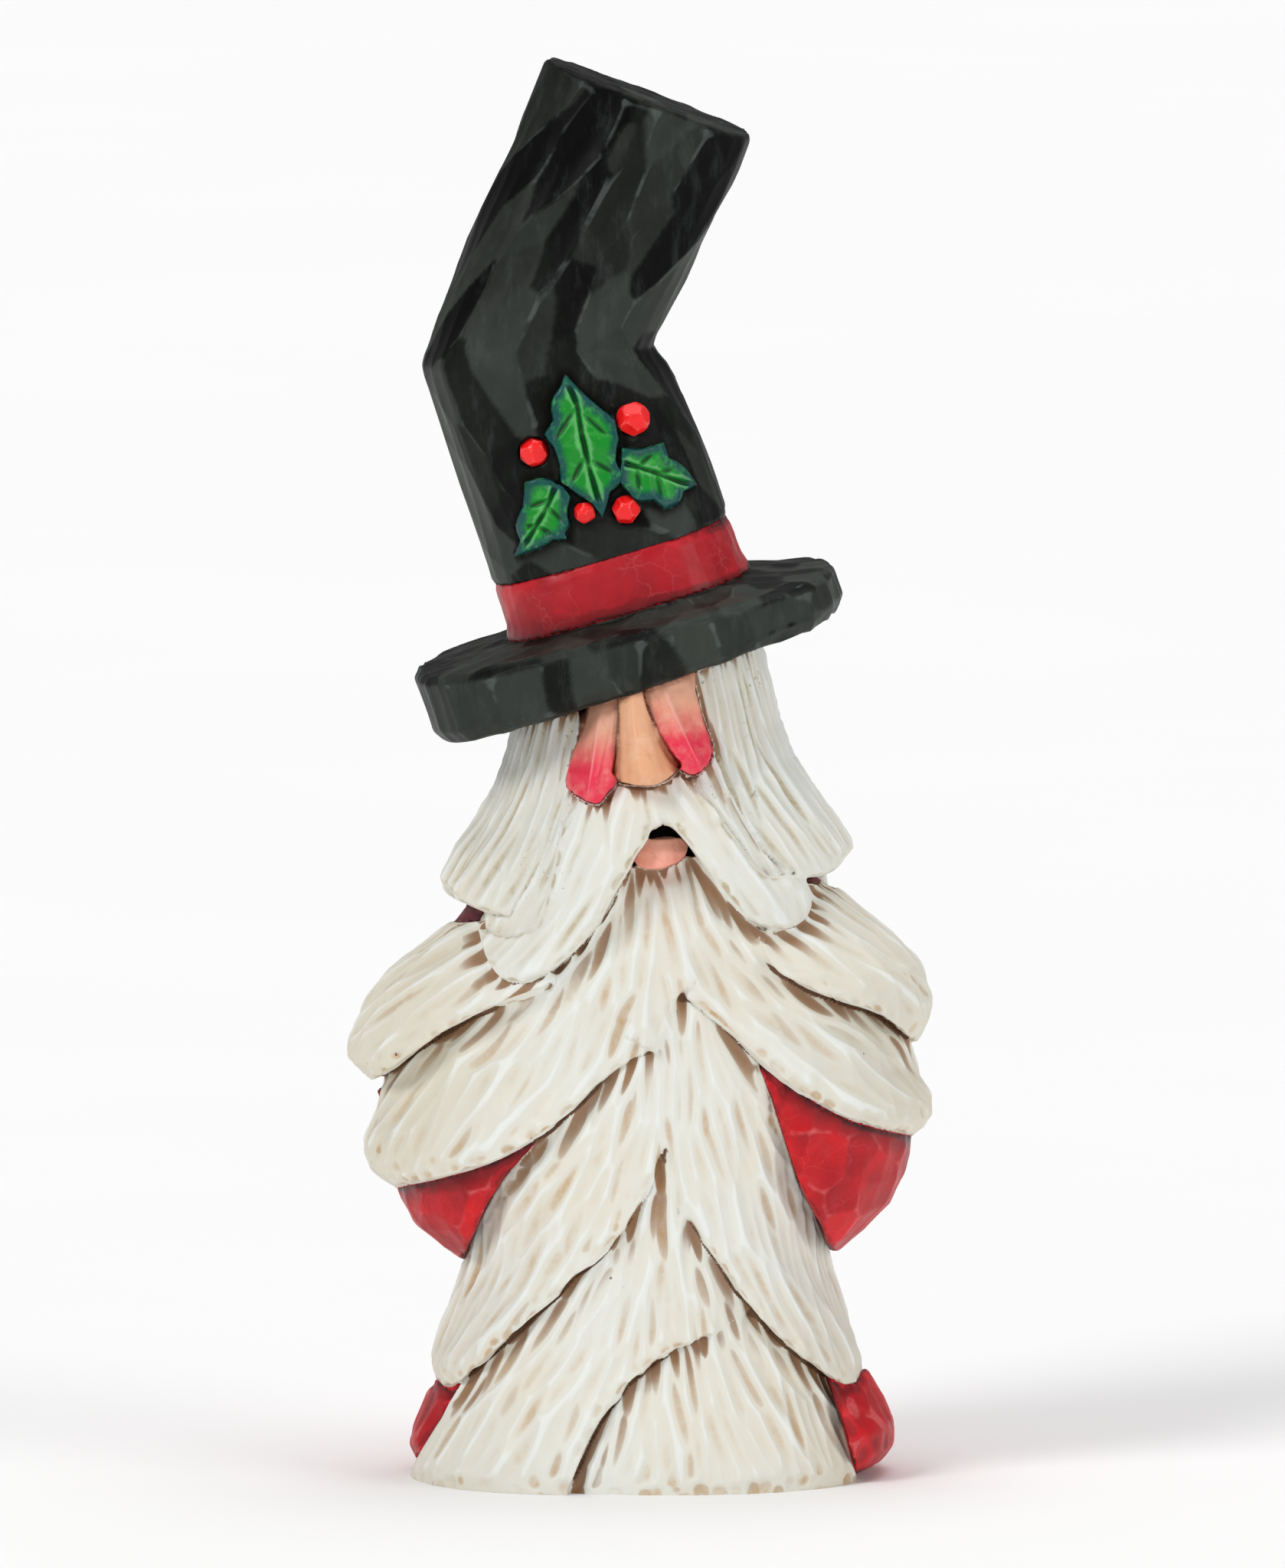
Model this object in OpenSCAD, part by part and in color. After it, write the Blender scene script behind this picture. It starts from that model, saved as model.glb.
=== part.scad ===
// Tomte gnome figurine, an assembly of separate carved pieces.
// Millimetres, +Z up, front toward -Y, left and right as seen from the front.
// The origin is the centre of the flat face that it rests on.

/* [Core] */
// Radius of the round body core that the beard locks sit on
core_r = 28; // [24:0.5:30]
// Radius of the head block at its foot
head_r = 29; // [26:0.5:31]
// Radius of the head block under the hat
head_top_r = 19; // [15:0.5:22]
// Height of the joint between body core and head block
neck_z = 106; // [98:1:112]
// Radius of the two wooden dowels
dowel_r = 5; // [3:0.5:8]

/* [Body] */
// How far the coat's back reaches behind the centre at its widest
coat_back = 40; // [34:1:46]
// How far an arm reaches behind the centre
arm_back = 25; // [18:1:30]
// How far the beard reaches in front of the centre at the chest
beard_front = 39; // [35:0.5:43]
// Step between a beard lock and the one below it
relief = 3; // [0.5:0.1:4]
// Downward slope toward the front of the cuts between locks, in degrees
seam_tilt = 6; // [0:1:12]

/* [Hat] */
// Height of the brim's underside above the base on the centre line
hat_z = 173.3; // [165:0.1:180]
// Sideways tilt of the brim, right end up, in degrees
brim_tilt = 16.6; // [0:0.1:25]
// Height of the brim's outer face
brim_h = 12; // [8:0.5:16]
// Height of the band above the brim's slope
band_h = 12.5; // [8:0.5:16]
// Half width of the brim
brim_r = 46.5; // [42:0.5:52]
// Radius of the crown's round plug inside the band and brim
plug_r = 21.5; // [16:0.5:24]
// How far the holly leaves stand out of the crown
leaf_out = 2.6; // [1:0.1:4]

/* [Hidden] */
$fn = 64;
far = 90;
band_top = brim_h + 3.5 + band_h;
hair_seam_y = 20;

// ---- curves and lofted forms ----

function bend(a, b, c, d, t) =
    0.5 * (2 * b + (c - a) * t + (2 * a - 5 * b + 4 * c - d) * t * t
    + (3 * b - a - 3 * c + d) * t * t * t);
function at(p, i) = p[min(max(i, 0), len(p) - 1)];

// A smooth curve through the points p, with n steps in each span
function smooth(p, n = 3) = [
    for (i = [0 : len(p) - 2], k = [0 : n - 1])
        bend(at(p, i - 1), p[i], p[i + 1], at(p, i + 2), k / n),
    p[len(p) - 1]];

function power(v, n) = sign(v) * pow(abs(v), 2 / n);

// One section of a form; r is [z, left x, right x, front depth, back depth, slope along x or nothing]
function section(r, n, k, yc) = [for (i = [0 : k - 1])
    let (a = 360 * (i + 0.5) / k, c = power(cos(a), n), s = power(sin(a), n),
        x = (r[1] + r[2]) / 2 + (r[2] - r[1]) / 2 * c,
        slope = len(r) > 5 ? r[5] : 0)
    [x, s < 0 ? yc + (r[3] + yc) * s : yc + (r[4] - yc) * s, r[0] + slope * x]];

// A closed solid through its sections
module form(rows, n = 2.3, k = 28, yc = 0) {
    m = len(rows);
    pts = [for (r = rows) each section(r, n, k, yc)];
    wall = [for (j = [0 : m - 2], i = [0 : k - 1])
        let (a = j * k + i, b = j * k + (i + 1) % k)
        each [[a, a + k, b + k], [a, b + k, b]]];
    foot = [for (i = [0 : k - 1]) i];
    top = [for (i = [k - 1 : -1 : 0]) (m - 1) * k + i];
    polyhedron(points = pts, faces = concat([foot], wall, [top]), convexity = 6);
}

// A prism through the figure from a flat outline drawn on the front
module through() {
    rotate([90 - seam_tilt, 0, 0]) linear_extrude(height = 260, center = true) children();
}

// A prism across the figure from an outline in [y, z]
module across() {
    translate([-far, 0, 0]) rotate([90, 0, 90]) linear_extrude(height = 2 * far) children();
}

module in_hat() {
    translate([0, 0, hat_z]) rotate([0, -brim_tilt, 0]) children();
}

// Everything below the brim's underside
module under_hat() {
    in_hat() translate([-far, -far, -200]) cube([2 * far, 2 * far, 200]);
}

// ---- zones: how far back the beard locks reach on each side ----

left_back_edge = [[2, -20], [2, 17], [15, 20], [10, 30], [3, 45], [3, 58], [15, 62], [11, 72],
    [3, 82], [16, 86], [14, 95], [8, 106], [2, 118], [2, 200]];
right_back_edge = [[2, -20], [2, 17], [15, 21], [10, 32], [3, 48], [3, 68], [15, 72], [11, 80],
    [3, 90], [16, 94], [13, 104], [8, 114], [2, 125], [2, 200]];

module left_zone() {
    across() polygon(concat([[-far, -20]], left_back_edge, [[-far, 200]]));
}
module right_zone() {
    across() polygon(concat([[-far, -20]], right_back_edge, [[-far, 200]]));
}
module front_of_hair_seam() {
    translate([-far, -far, 60]) cube([2 * far, far + hair_seam_y, 160]);
}
module behind_hair_seam() {
    translate([-far, hair_seam_y, 60]) cube([2 * far, far, 160]);
}

// ---- outlines on the front: [x, height], top-most piece first ----

module o_nose() polygon(concat(
    smooth([[-6.6, 172], [-6.2, 163], [-6.8, 155], [-7.4, 150.5]]),
    smooth([[-6, 148.3], [0, 147.6], [4.5, 149], [7.3, 152]]),
    smooth([[5, 155], [2.2, 160], [-0.4, 166], [-2, 175]])));
module o_left_cheek() polygon(concat(
    [[-14, 178]],
    smooth([[-15, 164], [-16.4, 154], [-17.2, 147.4], [-11, 143.7], [-8, 146.5], [-5, 150]]),
    [[-3, 178]]));
module o_right_cheek() polygon(concat(
    [[11, 184]],
    smooth([[10.2, 168], [12, 162], [14, 156], [13.3, 152.6], [10, 149.8], [7, 151]]),
    [[0, 152], [-6, 170], [-6, 180]]));
module o_lip() polygon(smooth([[-3.2, 131.6], [-1, 135.6], [2.5, 137], [6, 136.9], [8.7, 135],
    [7.5, 132], [3.5, 130], [-0.8, 130], [-3.2, 131.6]]));
module o_left_moustache() polygon(concat(
    smooth([[3.2, 141], [0, 136.5], [-5, 128], [-10, 119], [-17, 111], [-25, 105.8], [-31, 106.6],
        [-34.5, 111.5], [-36, 117]]),
    smooth([[-30, 115.5], [-24.5, 117], [-22, 122], [-20, 130], [-18, 139], [-14, 145]]),
    [[-10, 152], [3.2, 154]]));
module o_right_moustache() polygon(concat(
    smooth([[3.2, 141], [8, 136], [15, 127], [22, 119], [28, 116.8], [33.5, 119], [35.2, 123.5],
        [33, 128.4]]),
    smooth([[28, 128.3], [24.5, 129.4], [17, 139], [12, 145], [8.5, 149.6]]),
    [[8, 154], [3.2, 154]]));
module o_left_hair() polygon(concat(
    [[-14, 190], [-14.5, 168]],
    smooth([[-14.4, 161], [-15.8, 152], [-18.5, 144], [-23, 131], [-30, 119.7]]),
    smooth([[-34, 120.4], [-38, 122], [-42, 124.6], [-46, 128.4], [-52, 130]]),
    [[-far, 131], [-far, 190]]));
module o_right_hair() polygon(concat(
    [[9, 200], [9.8, 172]],
    smooth([[11.4, 164], [14, 157], [19, 144], [25, 134], [30, 130]]),
    smooth([[34, 128], [38, 128.5], [41, 130.5], [44, 134], [50, 136]]),
    [[far, 138], [far, 200]]));
module o_left_sideburn() polygon(concat(
    smooth([[-34.6, 118], [-33.4, 115.4], [-29, 115.2], [-22, 117]]),
    [[-12, 130], [-8, 143], [-8, 151], [-16, 151], [-34, 125]]));
module o_right_sideburn() polygon([[6, 156], [6, 146], [20, 128], [29, 127], [32, 131], [16, 156]]);
module o_chin() polygon(concat(
    smooth([[-6, 130.6], [-14, 120], [-21, 108], [-12, 100.5], [-5, 94.5], [1.6, 90.5]]),
    smooth([[4.4, 96], [7.5, 103.6], [15, 109.5], [25, 116], [26, 121]]),
    [[14, 133]],
    smooth([[8.6, 132.6], [5, 130.6], [1, 129.8], [-3, 130.6]])));
module o_left_shoulder() polygon(concat(
    [[-far, 80]],
    smooth([[-62, 82.5], [-57, 85.5], [-48, 92], [-39, 97.5], [-28, 102.5], [-17, 106]]),
    [[-10, 112], [-12, 126], [-34, 122]],
    smooth([[-36, 118.4], [-43, 118.5], [-52, 122]]),
    [[-far, 126]]));
module o_right_shoulder() polygon(concat(
    [[far, 88]],
    smooth([[62, 90.5], [57, 93], [50, 98.6], [40, 102], [31, 106], [24.5, 112], [20, 121]]),
    [[22, 125], [34, 126.4]],
    smooth([[37.4, 127.2], [42, 125.8], [52, 126]]),
    [[far, 128]]));
module o_left_upper() polygon(concat(
    [[-far, 56]],
    smooth([[-58, 59], [-53.5, 61.5], [-45, 63.5], [-34, 66.8], [-24, 72], [-15, 79.5], [-6, 87.4],
        [2, 92]]),
    [[-4, 112], [-30, 112], [-far, 98]]));
module o_right_upper() polygon(concat(
    [[far, 68]],
    smooth([[62, 70.5], [57, 72.5], [44, 76], [33, 82], [23, 90], [14, 98.5], [6.5, 104.6]]),
    [[4, 116], [24, 122], [60, 112], [far, 104]]));
module o_left_middle() polygon(concat(
    [[-6, 98]],
    smooth([[-17, 78], [-25, 70], [-31, 63], [-36, 54], [-39.5, 45.5]]),
    [[-46, 40], [-far, 38]],
    smooth([[-58, 22], [-46, 20.4], [-43.6, 18.9], [-41, 19.1], [-35, 24.5], [-25, 33.5], [-15, 43],
        [-5, 52.5], [0, 61.5], [3.5, 70]]),
    [[9, 80], [9, 98]]));
module o_right_middle() polygon(concat(
    smooth([[2, 110], [3.8, 90], [3.9, 78], [4.5, 68], [7, 58], [12, 51], [18.5, 41], [27, 30.6],
        [37, 22.4], [42, 19.4], [45.4, 20], [47, 22.6], [58, 24]]),
    [[far, 40], [46, 43]],
    smooth([[39.3, 48], [36.6, 55], [33, 61], [29, 73], [25, 85], [20, 94]]),
    [[14, 112]]));
module o_left_lower() polygon(concat(
    [[4, 74], [26, 46]],
    smooth([[25, 38], [19, 33], [12, 29.4], [4, 26], [-4, 19.6], [-10, 12], [-16, -1.5], [-19, -12]]),
    [[-56, -12]],
    smooth([[-51.5, -3], [-50, 2], [-45, 10.4], [-41, 16.4], [-36, 26]]),
    [[-20, 50]]));
module o_centre_lower() polygon(concat(
    [[-30, -12], [-30, 20], [6, 40], [30, 40], [34, 30]],
    smooth([[38.4, 21], [41, 14], [43.2, 6], [45.2, -2]]),
    [[47, -12]]));

// ---- forms that the pieces are cut from ----

coat_rows = smooth([
    [0, -45.5, 44.4, 35, coat_back - 4],
    [2.4, -49.4, 50, 37.6, coat_back - 1],
    [6.4, -51.6, 53.6, 38, coat_back],
    [11, -49.8, 53.6, 37, coat_back - 1],
    [16, -47.4, 51.4, 35, coat_back - 2.5],
    [24, -43.8, 46.8, 33, coat_back - 5],
    [36, -40, 40.6, 32, coat_back - 7],
    [48, -38.4, 38.6, 31, coat_back - 7.5],
    [64, -42, 42.4, 31, coat_back - 6],
    [82, -48, 48, 31, coat_back - 4],
    [98, -50, 50.4, 31, coat_back - 4.5],
    [110, -47, 49.6, 30, coat_back - 7],
    [119, -42, 46, 28, coat_back - 11],
    [126, -36.5, 40.6, 26, coat_back - 14],
    [131, -29, 33, 24, coat_back - 17]], 1);
left_arm_rows = [
    [42, -34, -18, 12, 9],
    [46.2, -39.4, -14, 22, 16],
    [50.3, -45.2, -9, 26, 20],
    [54.6, -51, -4, 28.4, 22.5],
    [59, -53.4, -4, 30, 24],
    [64, -54.8, -4, 31, arm_back - 1],
    [76, -57.2, -4, 32, arm_back],
    [88, -59, -4, 32, arm_back],
    [98, -56.8, -4, 31, arm_back - 1],
    [108, -51.2, -6, 28, arm_back - 3],
    [117, -43.4, -10, 24, arm_back - 6],
    [123, -36, -14, 18, arm_back - 9]];
right_arm_rows = [
    [44, 18, 35.6, 12, 9],
    [48, 14, 40.4, 22, 16],
    [53, 8, 46.6, 27, 20.5],
    [59, 4, 52.4, 30, 23],
    [65, 4, 55.6, 31.4, arm_back - 1],
    [71, 4, 57, 32, arm_back],
    [84, 4, 58.2, 32.6, arm_back],
    [96, 4, 57.4, 31, arm_back],
    [107, 5, 54, 29, arm_back - 2],
    [116, 8, 49, 26, arm_back - 4],
    [124, 12, 42, 20, arm_back - 8],
    [129, 14, 36, 16, arm_back - 10]];

f = beard_front;
left_shoulder_rows = smooth([
    [76, -54, 52, f - 1, 26],
    [84, -58.4, 50, f + 0.4, 26],
    [90.4, -65, 48, f + 0.6, 26],
    [96, -63, 46, f, 26],
    [103, -60.4, 44, f - 0.6, 25],
    [109, -55.6, 43, f - 1.2, 24.6],
    [114.6, -48.2, 42, f - 1.8, 24],
    [119.4, -42.6, 40, f - 2.8, 22],
    [128, -32, 38, f - 5, 20]], 2);
right_shoulder_rows = smooth([
    [84, -48, 55, f - 1, 26],
    [92.5, -46, 57.4, f + 0.4, 26],
    [98, -44, 60.8, f + 0.6, 26],
    [104, -42, 61.2, f, 25],
    [111, -40, 58.6, f - 0.6, 24],
    [118, -38, 51, f - 1.6, 23],
    [125, -36, 43.2, f - 3, 22],
    [134, -34, 34, f - 5.4, 20]], 2);
left_upper_rows = smooth([
    [56, -50, 46, f - 3, 26],
    [61.5, -53.6, 47, f - 0.8, 26],
    [66, -59.6, 48, f + 0.4, 26],
    [71, -61.2, 49, f + 0.8, 26],
    [77, -59, 49, f + 0.4, 26],
    [84, -57.2, 50, f - 0.8, 26],
    [92, -54, 50, f - relief, 26],
    [112, -44, 46, f - relief - 1, 24]], 2);
right_upper_rows = smooth([
    [66, -44, 52, f - 3, 26],
    [72.5, -45, 57, f - 0.8, 26],
    [78, -46, 61.8, f + 0.5, 26],
    [83, -46, 60.6, f + 0.6, 26],
    [89, -45, 57.5, f, 26],
    [94, -44, 56.6, f - 1, 26],
    [104, -42, 52, f - relief, 26],
    [120, -38, 44, f - relief - 1.4, 24]], 2);
left_middle_rows = smooth([
    [16, -44, 40, f - 1, 22],
    [24, -46.6, 38, f + 1, 22],
    [32, -44.4, 38, f + 1.4, 22],
    [40, -41.4, 39, f + 0.8, 21],
    [48, -39, 40, f - 0.2, 21],
    [60, -41, 42, f - relief + 1.4, 22],
    [76, -44, 46, f - relief - 0.8, 24],
    [90, -46, 48, f - relief - 1.4, 24],
    [108, -46, 48, f - relief - 2, 24]], 2);
right_middle_rows = smooth([
    [16, -38, 45.6, f - 0.6, 22],
    [24, -37, 46.4, f + 1.2, 22],
    [32, -37, 43.6, f + 1.4, 22],
    [40, -38, 41.2, f + 0.8, 21],
    [49, -39, 38.8, f, 21],
    [62, -41, 40, f - relief + 1, 22],
    [80, -44, 45, f - relief - 0.4, 24],
    [98, -45, 47, f - relief - 1.2, 24],
    [118, -42, 44, f - relief - 2.4, 24]], 2);
left_lower_rows = smooth([
    [0, -51.6, 38, f + 1.4, 20],
    [3, -52.2, 38, f + 2.2, 20],
    [10, -49.6, 37, f + 1.8, 20],
    [20, -45, 36, f + 0.4, 20],
    [34, -40, 36, f - relief + 0.6, 20],
    [50, -38, 38, f - relief - 0.8, 20],
    [76, -40, 42, f - relief - 1.8, 22]], 2);
centre_lower_rows = smooth([
    [0, -40, 48, f + 0.4, 20],
    [3, -40, 48.6, f + 1, 20],
    [10, -39, 46.4, f, 20],
    [20, -38, 42.4, f - relief + 0.6, 20],
    [30, -38, 40, f - relief - 1.6, 20],
    [48, -38, 38, f - relief - 3.4, 20]], 2);
chin_rows = smooth([
    [84, -46, 50, f - relief + 0.6, 24],
    [98, -42, 47, f - relief + 1.6, 22],
    [112, -38, 43, f - relief + 1, 20],
    [126, -34, 39, f - relief - 1, 20],
    [136, -30, 34, f - relief - 4, 20],
    [146, -28, 32, f - relief - 7, 20]], 2);
moustache_rows = smooth([
    [100, -50, 40, f, 20],
    [108, -49.5, 41, f + 2, 20],
    [118, -41, 42, f + 3, 20],
    [130, -37, 42, f + 4.4, 20],
    [141, -34, 38, f + 5, 20],
    [149, -31, 34, f + 4, 20],
    [156, -28, 31, f + 1, 20]], 2);
sideburn_rows = smooth([
    [108, -41, 42, f - 2, 20],
    [118, -40, 42, f, 20],
    [130, -37, 41, f + 0.8, 20],
    [141, -34, 38, f + 0.6, 20],
    [150, -31, 35, f - 0.6, 20],
    [160, -28, 31, f - 2, 20]], 2);
hair_rows = smooth([
    [114, -47, 44, 34, 37],
    [122, -46.6, 45.2, 35.4, 37.5],
    [129, -44.8, 46, 36.4, 37.5],
    [135.6, -41.2, 44.6, 37, 37],
    [141, -37, 41.4, 37, 36.4],
    [147.5, -33.2, 36.4, 36.6, 35.6],
    [155, -30.6, 31.6, 35.8, 34.6],
    [163, -28.4, 28.2, 34.8, 33.6],
    [172, -26.2, 26, 33.6, 32.6],
    [188, -23, 22.4, 32, 31]], 1);
back_hair_rows = smooth([
    [86, -36, 36, 10, 37],
    [95, -42, 42, 10, 40.5],
    [105, -44, 45, 10, 42.4],
    [116, -43.6, 45, 10, 42.4],
    [127, -43, 43.6, 10, 41],
    [140, -37.6, 40.6, 10, 39],
    [154, -31, 32, 10, 37],
    [169, -27, 27, 10, 35.4],
    [188, -23, 22.4, 10, 34]], 1);

// Hat rows in the figure's own upright frame
crown_rows = smooth([
    [170, -28.4, 26.6, 25.6, 24],
    [190, -32, 22, 27, 26],
    [202, -35.6, 18.7, 28, 27],
    [214, -39.8, 15.4, 28, 27],
    [226, -43.7, 11, 27, 26.5],
    [234, -46.3, 7.2, 25.8, 25.6],
    [239.6, -48, 4.4, 24.8, 24.8],
    [244, -46.8, 1.4, 23.6, 24],
    [250, -45, 4.2, 22.6, 23],
    [258, -41.6, 8.6, 21.6, 22],
    [270, -36.7, 14, 20.2, 20.6],
    [282, -31, 19.6, 18.6, 19.2],
    [294, -25.8, 24, 17, 17.6],
    [312, -18.8, 31.6, 15, 15.4]], 2);

module core() {
    cylinder(r = core_r, h = neck_z);
}
module head_core() {
    translate([0, 0, neck_z]) cylinder(r1 = head_r, r2 = head_top_r, h = 86);
}
module head_dowel_shape() {
    translate([0, 0, neck_z - 20]) cylinder(r = dowel_r, h = 40);
}
module hat_dowel_shape() {
    in_hat() translate([0, 0, -24]) cylinder(r = dowel_r, h = 44);
}

// ---- beard ----

module lock(rows, n = 2.3) {
    difference() {
        intersection() {
            form(rows, n);
            children(0);
            through() children(1);
        }
        children(2);
    }
}
module body_cores() {
    core();
    head_core();
}

module beard_chin() {
    color([0.93, 0.9, 0.83]) lock(chin_rows) {
        left_zone();
        difference() {
            o_chin();
            o_left_moustache();
            o_right_moustache();
            o_lip();
        }
        body_cores();
    }
}
module beard_left_shoulder() {
    color([0.93, 0.9, 0.83]) lock(left_shoulder_rows) {
        left_zone();
        difference() {
            o_left_shoulder();
            o_left_moustache();
            o_left_sideburn();
            o_left_hair();
            o_chin();
        }
        body_cores();
    }
}
module beard_right_shoulder() {
    color([0.93, 0.9, 0.83]) lock(right_shoulder_rows) {
        right_zone();
        difference() {
            o_right_shoulder();
            o_right_moustache();
            o_right_sideburn();
            o_right_hair();
            o_chin();
        }
        body_cores();
    }
}
module beard_left_upper() {
    color([0.93, 0.9, 0.83]) lock(left_upper_rows) {
        left_zone();
        difference() {
            o_left_upper();
            o_left_moustache();
            o_chin();
            o_left_shoulder();
        }
        body_cores();
    }
}
module beard_right_upper() {
    color([0.93, 0.9, 0.83]) lock(right_upper_rows) {
        right_zone();
        difference() {
            o_right_upper();
            o_right_moustache();
            o_chin();
            o_right_shoulder();
        }
        body_cores();
    }
}
module beard_left_middle() {
    color([0.93, 0.9, 0.83]) lock(left_middle_rows) {
        left_zone();
        difference() {
            o_left_middle();
            o_chin();
            o_left_upper();
            o_right_middle();
        }
        core();
    }
}
module beard_right_middle() {
    color([0.93, 0.9, 0.83]) lock(right_middle_rows) {
        right_zone();
        difference() {
            o_right_middle();
            o_chin();
            o_left_upper();
            o_right_upper();
        }
        core();
    }
}
module beard_left_lower() {
    color([0.93, 0.9, 0.83]) lock(left_lower_rows) {
        left_zone();
        difference() {
            o_left_lower();
            o_left_middle();
            o_right_middle();
        }
        core();
    }
}
module beard_centre_lower() {
    color([0.93, 0.9, 0.83]) lock(centre_lower_rows) {
        right_zone();
        difference() {
            o_centre_lower();
            o_left_lower();
            o_right_middle();
        }
        core();
    }
}

// ---- coat and sleeves ----

// Where a sleeve shows between the locks, the coat leaves room for it
module o_left_window() polygon([[-far, 43], [-34, 43], [-12, 84], [-far, 84]]);
module o_right_window() polygon([[far, 45], [34, 45], [18, 100], [far, 80]]);
module sleeve_windows() {
    intersection() {
        left_zone();
        through() o_left_window();
    }
    intersection() {
        right_zone();
        through() o_right_window();
    }
}
module left_beard_cut() {
    intersection() {
        left_zone();
        through() union() {
            o_left_shoulder();
            o_left_upper();
            o_left_middle();
            o_left_lower();
            o_left_moustache();
            o_left_sideburn();
            o_chin();
        }
    }
}
module right_beard_cut() {
    intersection() {
        right_zone();
        through() union() {
            o_right_shoulder();
            o_right_upper();
            o_right_middle();
            o_centre_lower();
            o_right_moustache();
            o_right_sideburn();
        }
    }
}
module hair_cut() {
    intersection() {
        front_of_hair_seam();
        through() union() {
            o_left_hair();
            o_right_hair();
        }
    }
    behind_hair_cut();
}
module behind_hair_cut() {
    intersection() {
        behind_hair_seam();
        rotate([90, 0, 0]) linear_extrude(height = 200, center = true) o_back_all();
    }
}

module coat_body() {
    color([0.62, 0.07, 0.1]) difference() {
        union() {
            difference() {
                form(coat_rows, 2.3, 36);
                form(left_arm_rows, 2.1, 24);
                form(right_arm_rows, 2.1, 24);
                left_beard_cut();
                right_beard_cut();
                sleeve_windows();
                hair_cut();
            }
            core();
        }
        head_core();
        head_dowel_shape();
    }
}
module left_sleeve() {
    color([0.66, 0.08, 0.11]) difference() {
        form(left_arm_rows, 2.1, 24);
        left_beard_cut();
        hair_cut();
        body_cores();
    }
}
module right_sleeve() {
    color([0.66, 0.08, 0.11]) difference() {
        form(right_arm_rows, 2.1, 24);
        right_beard_cut();
        hair_cut();
        body_cores();
        // the sliver between the moustache and the head core
        translate([0, -far, 121]) cube([21, far - 17.5, 20]);
    }
}

// ---- head ----

module head_block() {
    color([0.36, 0.2, 0.13]) difference() {
        intersection() {
            head_core();
            under_hat();
        }
        head_dowel_shape();
        hat_dowel_shape();
    }
}
module head_dowel() {
    color([0.76, 0.6, 0.42]) head_dowel_shape();
}
module hat_dowel() {
    color([0.76, 0.6, 0.42]) hat_dowel_shape();
}

nose_rows = smooth([
    [145, -3, 4, 37, -20],
    [148.5, -7, 6.6, 42, -20],
    [152, -8, 8, 47.5, -20],
    [156, -7.8, 7.6, 48.6, -20],
    [162, -7.4, 4.6, 45.6, -20],
    [170, -7, 2, 41.4, -20],
    [180, -6.4, 0, 38, -20]], 2);
left_cheek_rows = smooth([
    [139, -13, -3, 35, -10],
    [144, -17, 0, 40.4, -10],
    [149, -18.4, 2, 43.4, -10],
    [155, -18, 2, 43.6, -10],
    [162, -16, 2, 40.6, -10],
    [170, -13, 2, 37, -10],
    [180, -11, 0, 34, -10]], 2);
right_cheek_rows = smooth([
    [145, 2, 12, 35, -10],
    [150, -1, 16, 40, -10],
    [156, -3, 17.2, 43.2, -10],
    [162, -5, 16, 43, -10],
    [168, -6, 14.4, 40, -10],
    [176, -7, 12, 36.6, -10],
    [186, -8, 10, 34, -10]], 2);
lip_rows = smooth([
    [130, -2, 7, 34, -10],
    [132, -3.6, 8.6, 37, -10],
    [135, -4, 9.4, 39.4, -10],
    [138, -3.8, 9.2, 39.6, -10],
    [141, -2.6, 8, 37.4, -10]], 2);

module nose() {
    color([0.9, 0.62, 0.5]) difference() {
        intersection() {
            form(nose_rows, 2, 20, -34);
            under_hat();
            through() o_nose();
        }
        head_core();
    }
}
module left_cheek() {
    color([0.85, 0.45, 0.4]) difference() {
        intersection() {
            form(left_cheek_rows, 2.2, 20, -24);
            under_hat();
            through() difference() {
                o_left_cheek();
                o_nose();
                o_right_cheek();
            }
        }
        head_core();
    }
}
module right_cheek() {
    color([0.85, 0.45, 0.4]) difference() {
        intersection() {
            form(right_cheek_rows, 2.2, 20, -24);
            under_hat();
            through() difference() {
                o_right_cheek();
                o_nose();
            }
        }
        head_core();
    }
}
module lower_lip() {
    color([0.8, 0.42, 0.36]) difference() {
        intersection() {
            form(lip_rows, 2, 20, -26);
            through() difference() {
                o_lip();
                o_left_moustache();
                o_right_moustache();
            }
        }
        head_core();
    }
}
module left_moustache() {
    color([0.95, 0.92, 0.86]) lock(moustache_rows) {
        left_zone();
        difference() {
            o_left_moustache();
            o_nose();
            o_left_cheek();
            o_right_cheek();
        }
        body_cores();
    }
}
module right_moustache() {
    color([0.95, 0.92, 0.86]) lock(moustache_rows) {
        right_zone();
        difference() {
            o_right_moustache();
            o_left_moustache();
            o_nose();
            o_right_cheek();
        }
        body_cores();
    }
}
module left_sideburn() {
    color([0.93, 0.9, 0.83]) lock(sideburn_rows) {
        left_zone();
        difference() {
            o_left_sideburn();
            o_left_moustache();
            o_left_cheek();
            o_left_hair();
        }
        body_cores();
    }
}
module right_sideburn() {
    color([0.93, 0.9, 0.83]) lock(sideburn_rows) {
        right_zone();
        difference() {
            o_right_sideburn();
            o_right_moustache();
            o_right_cheek();
            o_right_hair();
        }
        body_cores();
    }
}

// ---- hair ----

module left_hair() {
    color([0.9, 0.87, 0.8]) difference() {
        intersection() {
            form(hair_rows, 2.3, 32);
            front_of_hair_seam();
            under_hat();
            through() o_left_hair();
        }
        head_core();
    }
}
module right_hair() {
    color([0.9, 0.87, 0.8]) difference() {
        intersection() {
            form(hair_rows, 2.3, 32);
            front_of_hair_seam();
            under_hat();
            through() o_right_hair();
        }
        head_core();
    }
}

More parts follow.
